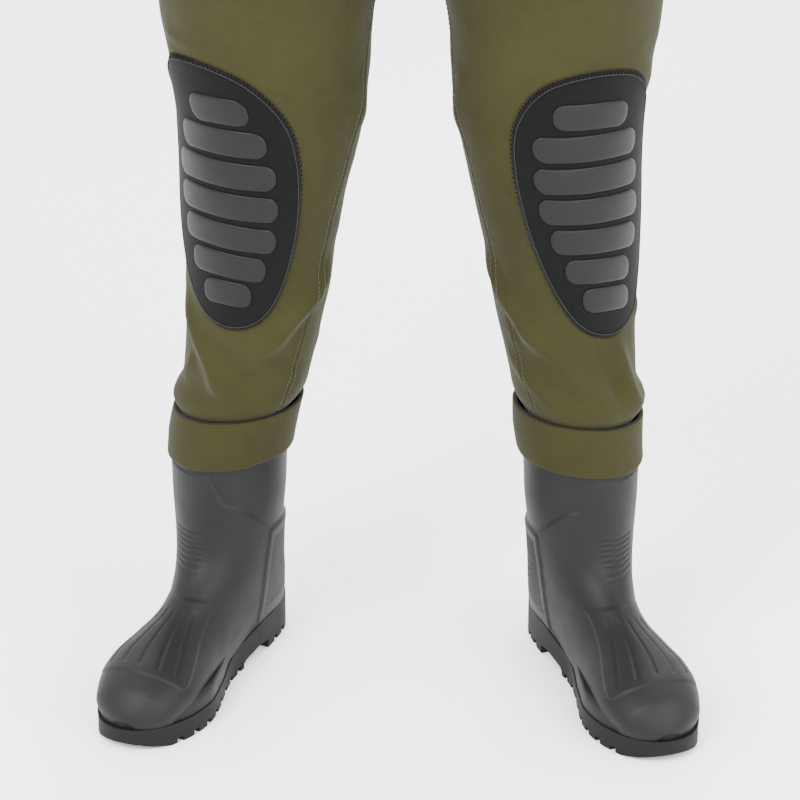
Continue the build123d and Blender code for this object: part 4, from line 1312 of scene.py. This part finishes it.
class WADERS_OT_pocket(bpy.types.Operator):
    """Makes the chest pocket, its flap and their hook-and-loop patches"""

    bl_idname = "waders.pocket"
    bl_label = "Chest pocket"

    def execute(self, context):
        def pouch(u, v, inset):
            body = (1 - min(abs(u), 1.0) ** 9) ** 0.5 * (1 - (1 - v) ** 12) ** 0.5
            sag = 0.8 * noise.noise(Vector((u * 2.2, v * 2.2, 3.0)))
            off = max(0.4, 0.4 + (15.4 + sag) * body - inset)
            return chest(u * (POCKET_HALF - inset), POCKET_LOW + inset * (1 - v) + POCKET_TALL * v, off)

        across = [-1 + 2 * k / 56 for k in range(57)]
        upward = [0, 0.004, 0.012, 0.03, 0.06] + [0.1 + 0.9 * k / 22 for k in range(23)]
        rows = [[pouch(u, v, 0) for u in across] for v in upward]
        rows += [[pouch(u, v, 1.8) for u in across] for v in reversed(upward[2:])]
        piece = grid_piece("chest_pocket_pouch", rows, finish("olive_jersey"))
        merge_and_face_out(piece, 0.00001)
        settle(piece, stands_for=["chest_pocket"])
        mouth = [pouch(u, 1, 0.9) for u in across]
        settle(tubes("pocket_mouth_piping", [mouth], 1.5, finish("black_webbing"), 8))
        border = [chest(-69.5, z, 0.7) for z in range(1286, 1150, -6)]
        border += [chest(x, 1148.5, 0.7) for x in range(-66, 67, 6)]
        border += [chest(69.5, z, 0.7) for z in range(1150, 1287, 6)]
        threads = dashes(border, *STITCH)
        settle(tubes("pocket_stitching", threads, 0.42, finish("seam_thread"), 5))

        def flap(x, t, inset):
            """t runs 0 at the hinge, 0.25 at the front fold, 1 at the free edge."""
            low = 1236.5 + 15 * max(0.0, (abs(x) - 50) / 19.5) ** 2
            front = chest(x, 1270, 19.7 - inset + 0.5 * noise.noise(Vector((x / 30, t * 2, 1.0)))).y
            if t < 0.25:
                share = t / 0.25
                bend = ease((share - 0.75) / 0.25)
                y = FLAP_HINGE_Y - 0.4 + (front - FLAP_HINGE_Y) * share
                return Vector((x, y, 1294.9 - inset - 2.4 * bend))
            share = (t - 0.25) / 0.75
            z = 1292.5 + (low - 1292.5) * share - inset * (1 - share)
            return Vector((x, chest(x, z, 19.9 - inset).y, z))

        steps = [0, 0.06, 0.12, 0.18, 0.21, 0.235, 0.25] + [0.25 + 0.75 * k / 16 for k in range(1, 17)]
        places = [-69.3 + 138.6 * k / 56 for k in range(57)]
        rows = [[flap(x, t, 0) for x in places] for t in steps]
        rows += [[flap(x, t, 1.7) for x in places] for t in reversed(steps)]
        piece = grid_piece("pocket_flap_cover", rows, finish("olive_jersey"), ring=True)
        merge_and_face_out(piece, 0.00001)
        settle(piece, "flap", ["pocket_flap"])
        edge = [flap(places[0], t, 0.9) for t in steps[6:]] + [flap(x, 1, 0.9) for x in places[1:]]
        edge += [flap(places[-1], t, 0.9) for t in reversed(steps[6:-1])]
        piece = tubes("pocket_flap_piping", [edge], 1.3, finish("black_webbing"), 8)
        settle(piece, "flap")
        hinge = []
        # round the strip: how far off the bib, or how far from the hinge line, and the height
        strip = (
            (0.4, None, 1301.4), (None, 1.1, 1300.6), (None, 0.7, 1297),
            (None, 0.7, 1293.8), (0.4, None, 1293.2),
        )
        for off, y, z in strip:
            if off is not None:
                hinge.append([chest(x, z, off) for x in places])
            else:
                hinge.append([Vector((x, max(FLAP_HINGE_Y + y, chest(x, z, 14).y), z)) for x in places])
        piece = grid_piece("flap_hinge_tape", hinge, finish("olive_jersey"), ring=True)
        merge_and_face_out(piece, 0.00001)
        settle(piece, stands_for=["flap_hinge_strip"])
        pile = finish("hook_loop_pile")
        for name, node, body, inner, outer in (
            ("pocket_loop_tape", "pocket_loop_patch", "suit", 15.4, 17.2),
            ("flap_hook_tape", "flap_hook_patch", "flap", 17.7, 18.8),
        ):
            piece = wrapped_patch(name, chest, (-42, 42), (1242, 1264), inner, outer, pile, 0.8)
            settle(piece, body, [node])
        return {"FINISHED"}


class WADERS_OT_ring(bpy.types.Operator):
    """Makes the webbing tab of the D-ring and finishes the ring"""

    bl_idname = "waders.ring"
    bl_label = "D-ring"

    def execute(self, context):
        facing = radians(23)
        out = Vector((sin(facing), -cos(facing), 0))
        foot_y = BODY_Y + 5 - 134.5 * sqrt(1 - (RING_X / 206.3) ** 2)
        origin = Vector((RING_X, foot_y, RING_Z)) + out * 5
        turns = [radians(180 + 180 * k / 10) for k in range(11)]
        line = [(-3.1, 39), (-3.1, 30), (-3.0, 20), (-2.9, 8)] + [(3.2 * cos(t), 3.2 * sin(t)) for t in turns]
        line += [(2.0, 6), (0.4, 12), (-0.6, 20), (-0.8, 32)]
        path = [origin + out * a + Vector((0, 0, b)) for a, b in line]
        sideways = Vector((cos(facing), sin(facing), 0))
        piece = ribbon("ring_tab", path, sideways, TAB_WIDE, TAB_THICK, finish("black_webbing"))
        settle(piece, stands_for=["d_ring_tab"])
        dress("d_ring", "ring_steel")
        return {"FINISHED"}


# ------------------------------------------------------------------ stage
class WADERS_OT_stage(bpy.types.Operator):
    """Makes the pale floor, the soft studio light and the camera"""

    bl_idname = "waders.stage"
    bl_label = "Stage"

    def execute(self, context):
        stage = context.scene.waders_stage
        shade = Shade("pale_floor", Roughness=0.9, Specular_IOR_Level=0.1)
        mottle = shade.noise(3.0, 2.0)
        shade.feed("Base Color", shade.mix(mottle, (0.86, 0.86, 0.86, 1), (0.885, 0.885, 0.885, 1)))
        shade.feed("Roughness", mottle * 0.05 + 0.86)
        shade.bump(mottle, 0.0002, 0.1)
        rows = []
        for k in range(40):
            back = -6 + 12 * k / 39
            lift = 0.0 if back < 2.5 else 3.5 - sqrt(max(0.0, 3.5**2 - (back - 2.5) ** 2))
            rows.append([Vector((x * 1000, back * 1000, lift * 1000 - 1.0)) for x in (-9, -3, 3, 9)])
        sweep = grid_piece("studio_sweep", rows, shade.material)

        world = bpy.data.worlds.new("studio_surround")
        world.use_nodes = True
        surround = world.node_tree.nodes["Background"]
        surround.inputs["Color"].default_value = (1, 1, 1, 1)
        surround.inputs["Strength"].default_value = stage.sky
        context.scene.world = world

        lamps = (
            ("key_softbox", (-1.5, -2.4, 2.7), 1.5, stage.key),
            ("side_softbox", (2.3, -1.7, 1.9), 1.6, stage.fill),
            ("back_softbox", (0.2, 2.3, 2.6), 2.0, stage.fill),
            ("front_low_softbox", (1.2, -3.0, 0.9), 1.6, stage.fill * 0.6),
        )
        for name, place, size, power in lamps:
            light = bpy.data.lights.new(name, "AREA")
            light.shape, light.size, light.energy = "SQUARE", size, power
            lamp = bpy.data.objects.new(name, light)
            lamp.location = place
            lamp.rotation_euler = (Vector((0, 0, 0.45)) - Vector(place)).to_track_quat("-Z", "Y").to_euler()
            context.scene.collection.objects.link(lamp)

        lens = bpy.data.cameras.new("studio_camera")
        lens.lens, lens.sensor_width = stage.lens, 36.0
        camera = bpy.data.objects.new("studio_camera", lens)
        camera.location = (stage.shift, -stage.distance, stage.height)
        camera.rotation_euler = (pi / 2 - stage.pitch, 0, stage.yaw)
        context.scene.collection.objects.link(camera)
        context.scene.camera = camera
        return {"FINISHED"}


OPERATORS = (
    WADERS_OT_suit, WADERS_OT_knee_pads, WADERS_OT_cuffs, WADERS_OT_boots, WADERS_OT_bib, WADERS_OT_braces,
    WADERS_OT_belt, WADERS_OT_pocket, WADERS_OT_ring, WADERS_OT_stage,
)


class WADERS_PT_panel(bpy.types.Panel):
    """Lists the waders' sizes, colours and pieces"""

    bl_idname = "WADERS_PT_panel"
    bl_label = "Chest waders"
    bl_space_type = "VIEW_3D"
    bl_region_type = "UI"
    bl_category = "Waders"

    def draw(self, context):
        for settings in (context.scene.waders_fit, context.scene.waders_colours, context.scene.waders_stage):
            box = self.layout.box()
            for name in settings.bl_rna.properties.keys():
                if name not in ("rna_type", "name"):
                    box.prop(settings, name)
        for operator in OPERATORS:
            self.layout.operator(operator.bl_idname)


CLASSES = (WadersFit, WadersColours, WadersStage) + OPERATORS + (WADERS_PT_panel,)


def register():
    """Adds the settings, operators and panel."""
    for kind in CLASSES:
        bpy.utils.register_class(kind)
    bpy.types.Scene.waders_fit = PointerProperty(type=WadersFit)
    bpy.types.Scene.waders_colours = PointerProperty(type=WadersColours)
    bpy.types.Scene.waders_stage = PointerProperty(type=WadersStage)


def unregister():
    """Takes them away again."""
    for name in ("waders_fit", "waders_colours", "waders_stage"):
        delattr(bpy.types.Scene, name)
    for kind in reversed(CLASSES):
        bpy.utils.unregister_class(kind)


def main():
    """Makes every piece in order."""
    register()
    for operator in OPERATORS:
        group, name = operator.bl_idname.split(".")
        getattr(getattr(bpy.ops, group), name)()


if __name__ == "__main__":
    main()
